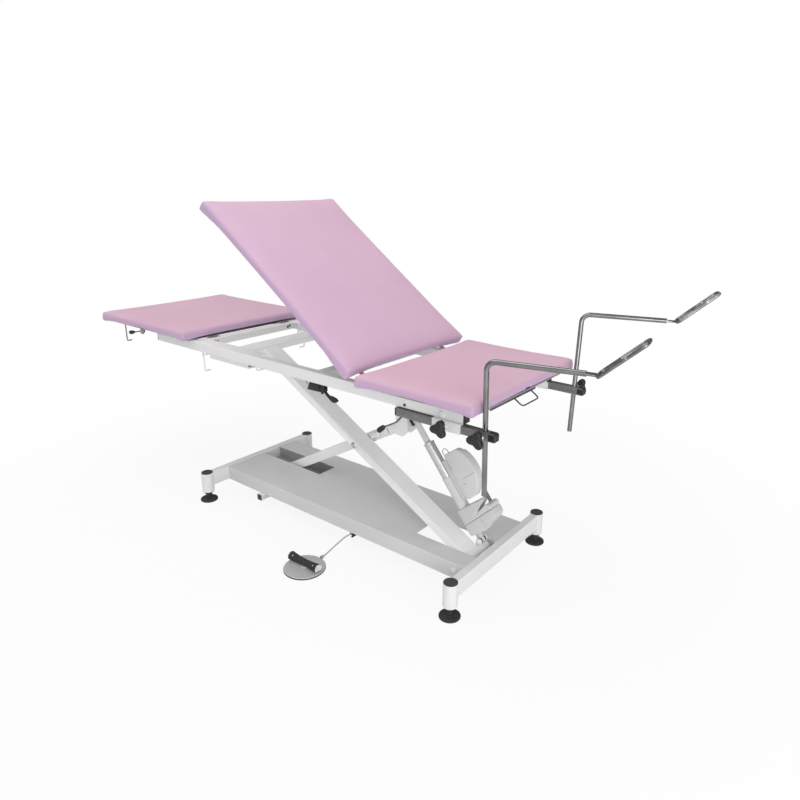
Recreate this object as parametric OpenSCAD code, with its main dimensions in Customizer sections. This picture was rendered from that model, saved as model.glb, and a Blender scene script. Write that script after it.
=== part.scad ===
// Three-section examination table on an electric scissor lift.
// Millimetres. +X points to the foot end, -Y is the side with the foot switch, +Z is up.
// Lengths along X and Y are first laid out from the centre of the base,
// and the whole table is then moved so that the origin is under the middle of its outline.

/* [Cushions] */
// Width of all three cushions
cushion_w = 650; // [560:10:720]
// Length of the seat cushion
seat_l = 445; // [380:5:470]
// Length of the back cushion
back_l = 858; // [760:2:870]
// Length of the head cushion
head_l = 625; // [560:5:700]
// Height of a cushion's side
cushion_t = 42; // [34:1:55]
// Rise of a cushion's middle above its side
cushion_crown = 4; // [0:0.5:8]
// Radius of a cushion's upper edge
cushion_edge_r = 16; // [10:1:20]
// How far a cushion's sides are drawn in between its corners
cushion_draw = 4; // [0:0.5:8]
// Thickness of the sheet under each cushion
board_t = 3.7; // [3:0.1:6]

/* [Upper frame] */
// Height of the side rails
rail_h = 40; // [36:1:50]
// Width of the side rails
rail_w = 30; // [25:1:40]
// Distance between the inner faces of the side rails
rail_gap = 500; // [470:2:520]
// Wall of the frame tubes
tube_wall = 2; // [1.5:0.25:3]
// Length of the side rails ahead of the lift pivots
rail_front = 75; // [60:1:100]
// Length of the side rails behind the lift pivots
rail_back = 1499; // [1400:1:1550]

/* [Lift] */
// Distance between the pivots at the two ends of a scissor arm
arm_l = 1184; // [1100:2:1240]
// Angle of the arms as the table stands
lift_angle = 29.4; // [26:0.1:33]
// Width of the main arm's tube
main_arm_w = 78; // [60:1:80]
// Thickness of the main arm's tube
main_arm_t = 30; // [25:1:40]
// Width of the second arm's tube
second_arm_w = 60; // [40:1:60]
// Thickness of the second arm's tube
second_arm_t = 40; // [30:1:44]
// Diameter of the lower pivot pin
pivot_d = 20; // [16:1:24]
// Diameter of the rollers that run in the base
lower_roller_d = 40; // [34:1:44]
// Diameter of the rollers that run under the rails
upper_roller_d = 44; // [36:1:48]

/* [Actuator] */
// Distance between the actuator's two pivots as the table stands
actuator_l = 543; // [520:1:560]
// Diameter of the outer tube
outer_tube_d = 39; // [36:1:40]
// Diameter of the piston tube
piston_d = 32; // [28:1:33]
// Diameter of the thin upper rod
upper_rod_d = 23; // [16:1:25]

/* [Base] */
// Diameter of the corner posts
post_d = 49; // [44:1:55]
// Height of the tops of the corner posts
post_top = 130; // [127:1:140]
// Distance between the posts along the table
post_span_x = 1275; // [1240:5:1320]
// Distance between the posts across the table
post_span_y = 578; // [520:2:620]
// Height of the end tubes
end_tube_h = 60; // [50:1:62]
// Width of the end tubes
end_tube_w = 30; // [25:1:38]
// Diameter of the levelling feet
foot_d = 78; // [64:1:90]
// Width of the folded pan
pan_w = 380; // [350:2:400]
// Thickness of the folded pan
pan_t = 2.5; // [2:0.25:4]

/* [Leg supports] */
// Side of the square support bars
bar_s = 25; // [20:0.5:26]
// Length of a support bar without its plugs
bar_l = 352; // [320:2:380]
// Diameter of the support rods
rod_d = 16; // [12:0.5:18]
// Lean of the rods away from the table
rod_lean = 2.8; // [0:0.1:4]
// Length of the horizontal arm on top of a rod
support_arm_l = 296; // [240:2:340]
// Length of a heel loop
heel_loop_l = 152; // [120:2:180]
// Width of a heel loop between the middles of its rods
heel_loop_w = 50; // [40:1:80]
// Rise of a heel loop
heel_loop_rise = 41.9; // [20:0.1:60]
// Diameter of the heel loop's rod
heel_rod_d = 10; // [8:0.5:12]

/* [Foot switch] */
// Diameter of the foot switch's plate
switch_d = 150; // [120:1:180]
// Diameter of the foot switch's cord
cord_d = 5; // [4:0.5:7]

/* [Hidden] */
$fn = 64;

// Gaps between pieces that move past each other, and between a pin and its bore
run_gap = 0.5;
bore_gap = 0.05;
tube_corner = 2.5;
near = -1;
far = 1;

// Scissor lift: both lower pivots lie at one height and both arms cross in the middle
pivot_x = 551;
pivot_z = 96;
half_arm = arm_l / 2;
arm_rise = arm_l * sin(lift_angle);
arm_run = arm_l * cos(lift_angle);
roller_x = pivot_x - arm_run;
upper_z = pivot_z + arm_rise;
sleeve_r = 21;
upper_sleeve_r = 17;
main_arm_y = -38 - main_arm_w;
main_arm_far_y = -38;
second_arm_y = 18;
second_arm_far_y = second_arm_y + second_arm_w;
pin_r = pivot_d / 2;
axle_r = 8;
cap_r = 11;
cap_t = 6;

// Upper frame
rail_top = upper_z + 27;
rail_bottom = rail_top - rail_h;
rail_in = rail_gap / 2;
rail_out = rail_in + rail_w;
rail_foot_x = pivot_x + rail_front;
rail_head_x = pivot_x - rail_back;
board_bottom = rail_top + 0.3;
cushion_bottom = board_bottom + board_t;
cushion_corner_r = 6;
board_inset = 25;
plug_t = 4;
head_tube_x0 = -690;
head_tube_x1 = -655;
head_tube_h = 30;
middle_tube_x0 = 0;
middle_tube_x1 = 40;

// Tracks of the upper rollers
track_t = 4;
track_x0 = head_tube_x1;
track_x1 = -312;
track_depth = 28;
track_inner_top = upper_z + upper_roller_d / 2 + run_gap;
track_bottom = rail_bottom - 21;
upper_roller_w = 14;
roller_side_gap = 4.5;
upper_roller_y = rail_in - track_t - roller_side_gap - upper_roller_w;
crosshead_w = 40;
crosshead_t = 30;

// Base
post_r = post_d / 2;
post_x_foot = 607;
post_x_head = post_x_foot - post_span_x;
post_y = post_span_y / 2;
post_bottom = 42;
post_wall = 3;
post_cap_t = 3;
end_tube_top = 126;
end_tube_bottom = end_tube_top - end_tube_h;
pan_top = 125;
pan_bottom = 66;
pan_y = pan_w / 2;
pan_x0 = post_x_head + end_tube_w / 2;
pan_x1 = post_x_foot - end_tube_w / 2;
arm_well_x = 336;
arm_well_y0 = -116 - run_gap;
arm_well_y1 = 15;
roller_well_x = -285;
roller_well_y0 = 4.5;
roller_well_y1 = 98;
pan_tube_s = 25;
pan_tube_x = -430;
pan_tube_over = 15;
tray_wall = 3;
lower_roller_w = 14;
lower_roller_gap = 2;
tray_side_gap = 6;
tray_y0 = second_arm_y - lower_roller_gap - lower_roller_w - tray_side_gap - tray_wall;
tray_y1 = second_arm_far_y + lower_roller_gap + lower_roller_w + tray_side_gap + tray_wall;
tray_floor = pivot_z - lower_roller_d / 2 - run_gap;
tray_x1 = -262;
foot_rim_h = 6;
foot_dome_h = 26;
foot_neck_r = 11;

// Actuator: its lower pivot sits in lugs on the lower sleeve
act_y = -12;
act_x0 = 548;
act_z0 = 128;
act_angle = 128.5;
lug_t = 6;
lug_r = 11;
lug_near_y = -33;
lug_far_y = 3;
act_eye_w = 16;
act_pin_r = 6;
act_eye_r = 10.5;
act_pin_y0 = -34;
act_pin_y1 = 10;
housing_y0 = -35;
housing_y1 = 11;
outer_tube_s0 = 128;
outer_tube_s1 = 250;
piston_s0 = 148;
piston_s1 = 391;
rod_end_r = 15;
rod_eye_w = 20;
bracket_t = 5;
bracket_near_y = -36;
bracket_far_y = 12;
bracket_x0 = 172;
bracket_x1 = 226;
bracket_z0 = 440;
bracket_z1 = 572;

// Release box under the near rail, with its lever
release_y0 = -275;
release_y1 = -256;
release_z = rail_bottom - 20;
paddle_x = 47;

// Lever under the near rail
lever_x = 375;
lever_z = rail_bottom - 12;
lever_y0 = -247;
lever_y1 = -241;

// Slide tray
slide_w = 282;
slide_y = -59;
slide_x0 = 350;
slide_x1 = 668;

// Back section: its hinge axis runs across the rails' top face
back_angle = 35.7;
hinge_x = 218;
hinge_z = rail_top;
hinge_pin_r = 6;
hinge_block_y = 238;
hinge_arm_y = 226;
hinge_arm_t = 6;
back_end = -31.3;
back_lift = 5.8;
hinge_arm_l = 158;
crank_x = 24.3;
crank_z = -44.1;
gas_x = 500;
gas_z = rail_top - 48;
gas_y = -200;
gas_eye_w = 14;
gas_r = 11;
gas_rod_r = 4;
crank_pin_x = hinge_x + crank_x * cos(back_angle) + crank_z * sin(back_angle);
crank_pin_z = hinge_z - crank_x * sin(back_angle) + crank_z * cos(back_angle);
gas_l = norm([crank_pin_x - gas_x, crank_pin_z - gas_z]);
gas_angle = atan2(crank_pin_z - gas_z, crank_pin_x - gas_x);

// Cushion places along the table
seat_x = 240;
head_x = -691;

// Head section
head_hinge_x = head_x - 0.5;
head_hinge_z = rail_top + 2;
knuckle_r = 1.9;
leaf_t = 2.5;
leaf_w = 50;
leaf_y = 190;
head_lever_x = -1056;
head_lever_z = rail_bottom + 26;
lever_plate_y = 33 - cushion_w / 2;
lever_plate_t = 6;
head_lever_y = lever_plate_y + lever_plate_t + 0.5;
head_lever_t = 5;
head_hook_y = cushion_w / 2 - 60;

// Leg supports
bar_y = -277.5;
bar_z = rail_bottom - 2.7 - bar_s / 2;
bar_x0 = 383;
far_bar_shift = 17;
support_x = 701;
sleeve_x0 = 523;
sleeve_l = 102;
sleeve_wall = 2.5;
sleeve_gap = 0.2;
sleeve_s = bar_s + 2 * sleeve_gap + 2 * sleeve_wall;
near_support_z0 = 455;
near_support_z1 = 870;
near_support_turn = 11.4;
far_support_z0 = 497;
far_support_z1 = 914;
far_support_turn = 23.5;
bend_r = 28;
nut_r = 9;
nut_t = 9;
stud_r = 4;
knob_r = 20;
knob_lobe = 7;
knob_t = 24;
knob_z_step = 4;
bar_knob_out = 24;
sleeve_knob_out = 18;
sleeve_knob_x = 571;

// Foot switch and its cord
switch_x = 43;
switch_y = -392;
switch_t = 8;
rocker_l = 144;
rocker_x = 37;
rocker_y = -386;
rocker_r = 17;
rocker_waist_r = 12;
rocker_z = switch_t + 12;
cap_wall = 3;
relief_y = -317;
cord_sides = 8;
cord_route = [
    [50, -304, 9], [50, -290, 11], [51, -276, 16], [53, -262, 22], [56, -247, 29], [59, -232, 36],
    [63, -219, 43], [68, -208, 50], [75, -199, 56], [80, -193.5, 60], [82, -190.5, 61], [82, -187.5, 61]
];

// The outline's middle, so that the origin is under the centre of the table's box
tip_reach = support_arm_l + heel_loop_l * cos(heel_loop_rise);
outline_x0 = head_x - head_l;
outline_x1 = support_x + far_bar_shift + tip_reach * cos(near_support_turn) - 5;
outline_y0 = bar_y - bar_s / 2 - bar_knob_out - knob_t;
outline_y1 = -bar_y + tip_reach * sin(far_support_turn) + heel_loop_w / 2 + 12;
mid_x = (outline_x0 + outline_x1) / 2;
mid_y = (outline_y0 + outline_y1) / 2;

// Places a piece that is laid out from the middle of the base
module place() { translate([-mid_x, -mid_y, 0]) children(); }

// A box between two corners
module block(low, high) { translate(low) cube(high - low); }

// A round bar along Y
module bar_along_y(x, z, y0, y1, r) { translate([x, y0, z]) rotate([-90, 0, 0]) cylinder(r = r,
    h = y1 - y0); }

// A round rod from one point to another
module rod_between(a, b, r) {
    d = b - a;
    translate(a) rotate([0, acos(d[2] / norm(d)), atan2(d[1], d[0])]) cylinder(r = r, h = norm(d));
}

// Rectangle with round corners, centred on the origin
module round_rectangle(w, h, r) {
    square([w - 2 * r, h], center = true);
    square([w, h - 2 * r], center = true);
    for (x = [-1, 1]) for (y = [-1, 1]) translate([x * (w / 2 - r), y * (h / 2 - r)]) circle(r = r);
}

// Cross-section of a drawn square tube
module tube_section(w, h, wall) {
    difference() {
        round_rectangle(w, h, tube_corner);
        square([w - 2 * wall, h - 2 * wall], center = true);
    }
}

// Round wire that follows points in the XY plane, with its corners bent to a radius
function turn_at(points, i) = let (a = points[i] - points[i - 1], b = points[i + 1] - points[i])
    atan2(a[0] * b[1] - a[1] * b[0], a[0] * b[0] + a[1] * b[1]);
function cut_back(points, i, bend) = i == 0 || i == len(points)
    - 1 ? 0 : bend * tan(abs(turn_at(points, i)) / 2);
module wire(points, bend, r) {
    last = len(points) - 1;
    for (i = [0:last - 1]) {
        d = unit(points[i + 1] - points[i]);
        from = cut_back(points, i, bend);
        to = cut_back(points, i + 1, bend);
        translate(points[i] + from * d) rotate([0, 90, atan2(d[1], d[0])])
            cylinder(r = r, h = norm(points[i + 1] - points[i]) - from - to);
    }
    for (i = [1:1:last - 1]) {
        turn = turn_at(points, i);
        d = unit(points[i] - points[i - 1]);
        start = points[i] - d * cut_back(points, i, bend);
        side = sign(turn) * bend * [-d[1], d[0]];
        from = atan2(-side[1], -side[0]);
        translate(start + side) rotate(turn > 0 ? from : from + turn) rotate_extrude(angle = abs(turn))
            translate([bend, 0]) circle(r = r);
    }
}

// Rounded grip along +Z that swells towards its end
module grip(l, r) {
    rotate_extrude() polygon(concat([[0, 0]],
        [for (k = [0:8]) [r * (0.6 + 0.4 * sin(11.25 * k)), (l - r) * k / 8]],
        [for (k = [1:6]) [r * cos(15 * k), l - r + r * sin(15 * k)]]));
}

// A square tube along X, open at both ends
module tube_along_x(low, high, wall) {
    size = high - low;
    translate([low[0], low[1] + size[1] / 2, low[2] + size[2] / 2]) rotate([90, 0, 90])
        linear_extrude(size[0])
        tube_section(size[1], size[2], wall);
}

// A square tube along Y, open at both ends
module tube_along_y(low, high, wall) {
    size = high - low;
    translate([low[0] + size[0] / 2, high[1], low[2] + size[2] / 2]) rotate([90, 0, 0])
        linear_extrude(size[1])
        tube_section(size[0], size[2], wall);
}

// Domed cap on the end of a pin, pointing along -Z
module pin_cap(r, t) {
    rotate_extrude() polygon(concat([[0, 0]], [for (k = [0:6]) [r * cos(15 * k), -t * sin(15 * k)]]));
}

// The frame of the main arm: the origin is its lower pivot and the arm runs along -X
module main_arm_frame() { translate([pivot_x, 0, pivot_z]) rotate([0, lift_angle, 0]) children(); }

// The frame of the second arm: the origin is its lower roller and the arm runs along +X
module second_arm_frame() { translate([roller_x, 0, pivot_z]) rotate([0, -lift_angle, 0]) children(); }

// The frame of the actuator: the origin is its lower pivot and +Z runs along its rod
module actuator_frame() { translate([act_x0, act_y, act_z0]) rotate([0, 90 - act_angle, 0]) children(); }

// The frame of the back section, laid flat along -X from its hinge
module back_section_frame() { translate([hinge_x, 0, hinge_z]) rotate([0, back_angle, 0]) children(); }

// The frame of the gas spring: the origin is its fixed eye and +X runs along its rod
module gas_frame() { translate([gas_x, gas_y, gas_z]) rotate([0, -gas_angle, 0]) children(); }

// Outline of a cushion at one level: round corners, with points along the sides to draw them in
function corner_arc(x, y, r, from) = [for (k = [0:4]) [x + r * cos(from + 22.5 * k),
    y + r * sin(from + 22.5 * k)]];
function side_steps(a, b, count) = [for (k = [1:count]) a + (b - a) * k / (count + 1)];
function cushion_ring(a, b, r) = concat(
    corner_arc(a - r, b - r, r, 0), side_steps([a - r, b], [r - a, b], 7),
    corner_arc(r - a, b - r, r, 90), side_steps([-a, b - r], [-a, r - b], 7),
    corner_arc(r - a, r - b, r, 180), side_steps([r - a, -b], [a - r, -b], 7),
    corner_arc(a - r, r - b, r, 270), side_steps([a, r - b], [a, b - r], 7));
function drawn_in(p, a, b, pull) = [
    p[0] - sign(p[0]) * pull * (1 - pow(p[1] / b, 2)) * pow(abs(p[0]) / a, 4),
    p[1] - sign(p[1]) * pull * (1 - pow(p[0] / a, 2)) * pow(abs(p[1]) / b, 4)];

// Corners keep most of the room that the round edge takes away, so they end in a point
function pointed(p, a, b, pull) =
    let (weight = pow(abs(p[0]) / a, 12) * pow(abs(p[1]) / b, 12))
    [p[0] + sign(p[0]) * pull * weight, p[1] + sign(p[1]) * pull * weight];

// Levels of a cushion, from its underside to the middle of its crown: inset and height
function cushion_levels(t, crown, r, half) = concat(
    [[5, 0], [1.5, 1.5], [0, 5], [0, t * 0.35], [0, t - r]],
    [for (k = [1:6]) [r * (1 - cos(15 * k)), t - r + r * sin(15 * k)]],
    [for (k = [1:4]) [r + (half * 0.96 - r) * k / 4, t + crown * sin(22.5 * k)]]);

// A cushion centred on the origin, with its flat underside at z = 0
module cushion(l, w, t, crown) {
    a = l / 2;
    b = w / 2;
    levels = cushion_levels(t, crown, cushion_edge_r, min(a, b));
    rings = [for (level = levels)
        let (
            ring_a = a - level[0],
            ring_b = b - level[0],
            pull = 0.75 * min(level[0], cushion_edge_r) * ring_a / a
        )
        [for (p = cushion_ring(ring_a, ring_b, max(cushion_corner_r - level[0], cushion_corner_r / 2)))
            let (q = drawn_in(pointed(p, ring_a, ring_b, pull), a, b, cushion_draw)) [q[0], q[1], level[1]]]];
    n = len(rings[0]);
    last = len(rings) - 1;
    points = concat([for (ring = rings) each ring], [[0, 0, 0], [0, 0, rings[last][0][2]]]);
    low_mid = len(points) - 2;
    high_mid = len(points) - 1;
    sides = [for (i = [0:last - 1]) for (j = [0:n - 1])
        let (k = (j + 1) % n)
        each [[i * n + j, (i + 1) * n + j, i * n + k], [i * n + k, (i + 1) * n + j, (i + 1) * n + k]]];
    under = [for (j = [0:n - 1]) [low_mid, j, (j + 1) % n]];
    over = [for (j = [0:n - 1]) [high_mid, last * n + (j + 1) % n, last * n + j]];
    polyhedron(points = points, faces = concat(sides, under, over), convexity = 4);
}

// A cord swept along its own points
function unit(v) = v / norm(v);
function run_at(route, i) = unit(route[min(i + 1, len(route) - 1)] - route[max(i - 1, 0)]);
module cord(route, r, sides) {
    rings = [for (i = [0:len(route) - 1])
        let (d = run_at(route, i), u = unit(cross(d, [1, 0, 0])), v = cross(d, u))
        [for (k = [0:sides - 1]) route[i] + r * (cos(360 * k / sides) * u + sin(360 * k / sides) * v)]];
    last = len(route) - 1;
    sides_list = [for (i = [0:last - 1]) for (j = [0:sides - 1])
        let (k = (j + 1) % sides)
        each [[i * sides + j, (i + 1) * sides + j, i * sides + k],
              [i * sides + k, (i + 1) * sides + j, (i + 1) * sides + k]]];
    start = [for (j = [1:sides - 2]) [0, j, j + 1]];
    finish = [for (j = [1:sides - 2]) [last * sides, last * sides + j + 1, last * sides + j]];
    polyhedron(points = [for (ring = rings) each ring], faces = concat(sides_list, start,
        finish), convexity = 4);
}

// Clamping knob with three soft lobes, standing on z = 0 and pointing along +Z, with its stud below
module knob(stud_l) {
    outline = [for (k = [0:47]) let (a = 7.5 * k, r = knob_r + knob_lobe * cos(3 * a))
        [r * cos(a), r * sin(a)]];
    cylinder(r = knob_r - 5, h = knob_z_step);
    translate([0, 0, knob_z_step - 1]) linear_extrude(3) scale(0.9) polygon(outline);
    translate([0, 0, knob_z_step]) linear_extrude(knob_t - 2 * knob_z_step) polygon(outline);
    translate([0, 0, knob_t - knob_z_step]) linear_extrude(2) scale(0.92) polygon(outline);
    translate([0, 0, knob_t - knob_z_step]) linear_extrude(knob_z_step) scale(0.78) polygon(outline);
    translate([0, 0, -stud_l]) cylinder(r = stud_r, h = stud_l + 1);
}

module corner_posts() {
    color("white") place() for (x = [post_x_head, post_x_foot]) for (side = [near, far])
        translate([x, side * post_y, post_bottom]) difference() {
            cylinder(r = post_r, h = post_top - post_cap_t - post_bottom);
            translate([0, 0, post_wall]) cylinder(r = post_r - post_wall, h = post_top);
            translate([0, 0, -1]) cylinder(r = foot_neck_r - 3, h = post_wall + 2);
        }
}

module end_tubes() {
    color("white") place() for (x = [post_x_head, post_x_foot]) difference() {
        tube_along_y([x - end_tube_w / 2, -post_y, end_tube_bottom], [x + end_tube_w / 2, post_y,
            end_tube_top],
            tube_wall);
        for (side = [near, far]) translate([x, side * post_y, 0]) cylinder(r = post_r, h = post_top);
    }
}

module base_caps() {
    color("dimgray") place() {
        for (x = [post_x_head, post_x_foot]) for (side = [near, far])
            translate([x, side * post_y, post_top - post_cap_t]) rotate_extrude()
                polygon([[0, -8], [post_r - post_wall, -8], [post_r - post_wall, 0], [post_r, 0],
                    [post_r, post_cap_t - 1], [post_r - 1, post_cap_t], [0, post_cap_t]]);
        for (side = [near, far]) translate([pan_tube_x, side * (pan_y + pan_tube_over),
            pan_bottom - pan_tube_s / 2])
            block([-pan_tube_s / 2, side < 0 ? -3 : 0, -pan_tube_s / 2],
                [pan_tube_s / 2, side < 0 ? 0 : 3, pan_tube_s / 2]);
    }
}

module levelling_feet() {
    color("black") place() for (x = [post_x_head, post_x_foot]) for (side = [near, far])
        translate([x, side * post_y, 0]) rotate_extrude() polygon(concat(
            [[0, 0], [foot_d / 2 - 2, 0], [foot_d / 2, 2], [foot_d / 2, foot_rim_h]],
            [for (k = [1:6]) [foot_neck_r + 2 + (foot_d / 2 - foot_neck_r - 5) * cos(15 * k),
                foot_rim_h + 1 + (foot_dome_h - foot_rim_h) * sin(15 * k)]],
            [[foot_neck_r, foot_dome_h + 4], [foot_neck_r, post_bottom], [foot_neck_r - 3.1, post_bottom],
             [foot_neck_r - 3.1, post_bottom + 20], [0, post_bottom + 20]]));
}

// Bracket plates under the pan that carry the lower pivot pin
module pivot_plates() {
    for (y = [arm_well_y0 - lug_t, arm_well_y1 + 2])
        block([pivot_x - 30, y, pan_bottom], [pivot_x + 30, y + lug_t, pan_top - pan_t / 2]);
}

module base_pan() {
    color("white") place() difference() {
        union() {
            difference() {
                block([pan_x0, -pan_y, pan_bottom], [pan_x1, pan_y, pan_top]);
                block([pan_x0 - 1, -pan_y + pan_t, pan_bottom - 1], [pan_x1 + 1, pan_y - pan_t,
                    pan_top - pan_t]);
            }
            pivot_plates();
        }
        block([arm_well_x, arm_well_y0, pan_bottom - 1], [pan_x1 + 1, arm_well_y1, pan_top + 1]);
        block([pan_x0 - 1, roller_well_y0, pan_top - 2 * pan_t], [roller_well_x, roller_well_y1,
            pan_top + 1]);
        bar_along_y(pivot_x, pivot_z, -pan_y - 1, arm_well_y1 + lug_t + 3, pin_r + bore_gap);
    }
}

module pan_cross_tube() {
    color("white") place() tube_along_y(
        [pan_tube_x - pan_tube_s / 2, -pan_y - pan_tube_over, pan_bottom - pan_tube_s],
        [pan_tube_x + pan_tube_s / 2, pan_y + pan_tube_over, pan_bottom], tube_wall);
}

module roller_tray() {
    slot_w = 18;
    slot_l = 90;
    color("gray") place() difference() {
        block([pan_x0, tray_y0, tray_floor - tray_wall], [tray_x1, tray_y1, pan_top - pan_t]);
        block([pan_x0 - 1, tray_y0 + tray_wall, tray_floor], [tray_x1 + 1, tray_y1 - tray_wall, pan_top]);
        for (x = [-600:110:-330]) for (y = [second_arm_y + 4, second_arm_far_y - 4 - slot_w])
            block([x, y, tray_floor - tray_wall - 1], [x + slot_l, y + slot_w, tray_floor + 1]);
    }
}

module lower_pivot_pin() {
    color("gainsboro") place() {
        bar_along_y(pivot_x, pivot_z, -pan_y, arm_well_y1 + lug_t + 2, pin_r);
        translate([pivot_x, -pan_y, pivot_z]) rotate([-90, 0, 0]) pin_cap(cap_r, cap_t);
        translate([pivot_x, arm_well_y1 + lug_t + 2, pivot_z]) rotate([90, 0, 0]) pin_cap(cap_r, cap_t);
    }
}

module switch_plate() {
    color("darkgray") place() translate([switch_x, switch_y, 0]) rotate_extrude()
        polygon([[0, 0], [switch_d / 2 - 2, 0], [switch_d / 2, 2], [switch_d / 2, switch_t - 2],
            [switch_d / 2 - 2, switch_t], [14, switch_t], [12, switch_t + 2.4], [0, switch_t + 2.4]]);
}

module switch_relief() {
    color("silver") place() translate([50, relief_y, 9]) rotate([-90, 0, 0]) {
        cylinder(r = 6.5, h = 7);
        cylinder(r = 4.5, h = -304 - relief_y);
    }
}

module switch_cord() {
    color("silver") place() cord(cord_route, cord_d / 2, cord_sides);
}

module cord_clip() {
    y0 = -pan_y + pan_t;
    color("gray") place() {
        block([74, y0, 53], [92, y0 + 9, 86]);
        rod_between([79, y0 + 5, 43], [112, y0 + 5, 71], 3.5);
    }
}

// Half-round grip that narrows to a waist in the middle
module rocker_shape(l) {
    translate([rocker_x, rocker_y, rocker_z]) rotate([0, 90, 0]) intersection() {
        rotate_extrude() polygon(concat([[0, -l / 2]],
            [for (k = [-8:8]) [rocker_waist_r + (rocker_r - rocker_waist_r) * pow(k / 8, 2), k * l / 16]],
            [[0, l / 2]]));
        block([-rocker_r - 1, -rocker_r - 1, -l / 2 - 1], [8, rocker_r + 1, l / 2 + 1]);
    }
}

module switch_rocker() {
    color("#333333") place() rocker_shape(rocker_l - 2 * cap_wall);
}

module rocker_end_caps() {
    color("lightgray") place() for (side = [-1, 1])
        translate([rocker_x + side * (rocker_l / 2 - cap_wall / 2), rocker_y, rocker_z]) rotate([0, 90, 0])
            intersection() {
                cylinder(r = rocker_r - 1, h = cap_wall, center = true);
                block([-rocker_r - 1, -rocker_r - 1, -cap_wall], [8, rocker_r + 1, cap_wall]);
            }
}

module main_arm() {
    color("white") place() difference() {
        union() {
            main_arm_frame() {
                difference() {
                    translate([-arm_l + crosshead_w / 2, (main_arm_y + main_arm_far_y) / 2, 0])
                        rotate([90, 0, 90])
                        linear_extrude(arm_l - crosshead_w / 2 - 6)
                            round_rectangle(main_arm_w, main_arm_t, tube_corner);
                    block([-arm_l + crosshead_w / 2 - 1, main_arm_y + tube_wall, -main_arm_t / 2 + tube_wall],
                        [4 - sleeve_r, main_arm_far_y - tube_wall, main_arm_t / 2 - tube_wall]);
                }
                // Spacer between the two arms, and the seat of the centre pin through the tube
                translate([-half_arm, main_arm_y + 1, 0]) rotate([-90, 0, 0])
                    cylinder(r = pin_r + 2.5, h = main_arm_w - 2);
                translate([-half_arm, main_arm_far_y, 0]) rotate([-90, 0, 0])
                    cylinder(r = 20, h = second_arm_y - main_arm_far_y - 13 - run_gap);
            }
            bar_along_y(pivot_x, pivot_z, main_arm_y + 3, lug_far_y + lug_t, sleeve_r);
            for (y = [lug_near_y, lug_far_y]) {
                bar_along_y(act_x0, act_z0, y, y + lug_t, lug_r);
                block([act_x0 - lug_r + 0.6, y, pivot_z + 8], [act_x0 + lug_r - 0.6, y + lug_t, act_z0]);
            }
            bar_along_y(act_x0, act_z0, act_pin_y0, act_pin_y1, act_pin_r);
            translate([act_x0, act_pin_y0, act_z0]) rotate([-90, 0, 0]) pin_cap(9, 3);
            translate([act_x0, act_pin_y1, act_z0]) rotate([90, 0, 0]) pin_cap(9, 4);
        }
        bar_along_y(pivot_x, pivot_z, main_arm_y - 1, lug_far_y + lug_t + 1, pin_r + bore_gap);
        main_arm_frame() translate([-half_arm, main_arm_y - 1, 0]) rotate([-90, 0, 0])
            cylinder(r = pin_r, h = main_arm_w + 80);
    }
}

module upper_crosshead() {
    half = rail_in - track_depth - run_gap;
    stub_l = rail_in - track_t - roller_side_gap - half + 4;
    color("white") place() main_arm_frame() translate([-arm_l, 0, 0]) {
        tube_along_y([-crosshead_w / 2, -half, -crosshead_t / 2], [crosshead_w / 2, half,
            crosshead_t / 2], tube_wall);
        for (side = [near, far]) {
            block([-crosshead_w / 2 + tube_wall, side < 0 ? -half : half - 4, -crosshead_t / 2 + tube_wall],
                [crosshead_w / 2 - tube_wall, side < 0 ? -half + 4 : half, crosshead_t / 2 - tube_wall]);
            rotate([side * -90, 0, 0]) translate([0, 0, half - 4])
                cylinder(r = axle_r, h = stub_l);
        }
    }
}

module centre_pin() {
    color("gainsboro") place() main_arm_frame() translate([-half_arm, 0, 0]) {
        translate([0, main_arm_y, 0]) rotate([-90, 0, 0]) cylinder(r = pin_r,
            h = second_arm_far_y - main_arm_y + 1);
        translate([0, main_arm_y, 0]) rotate([-90, 0, 0]) pin_cap(cap_r + 1, cap_t);
        translate([0, second_arm_far_y + 1, 0]) rotate([90, 0, 0]) pin_cap(cap_r + 1, cap_t);
    }
}

module upper_rollers() {
    color("dimgray") place() for (side = [near, far])
        translate([roller_x, side * upper_roller_y, upper_z]) rotate([side * -90, 0, 0]) rotate_extrude()
            polygon([[axle_r + bore_gap, 0], [upper_roller_d / 2 - 1.5, 0], [upper_roller_d / 2, 1.5],
                [upper_roller_d / 2, upper_roller_w - 1.5], [upper_roller_d / 2 - 1.5, upper_roller_w],
                [axle_r + bore_gap, upper_roller_w]]);
}

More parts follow.
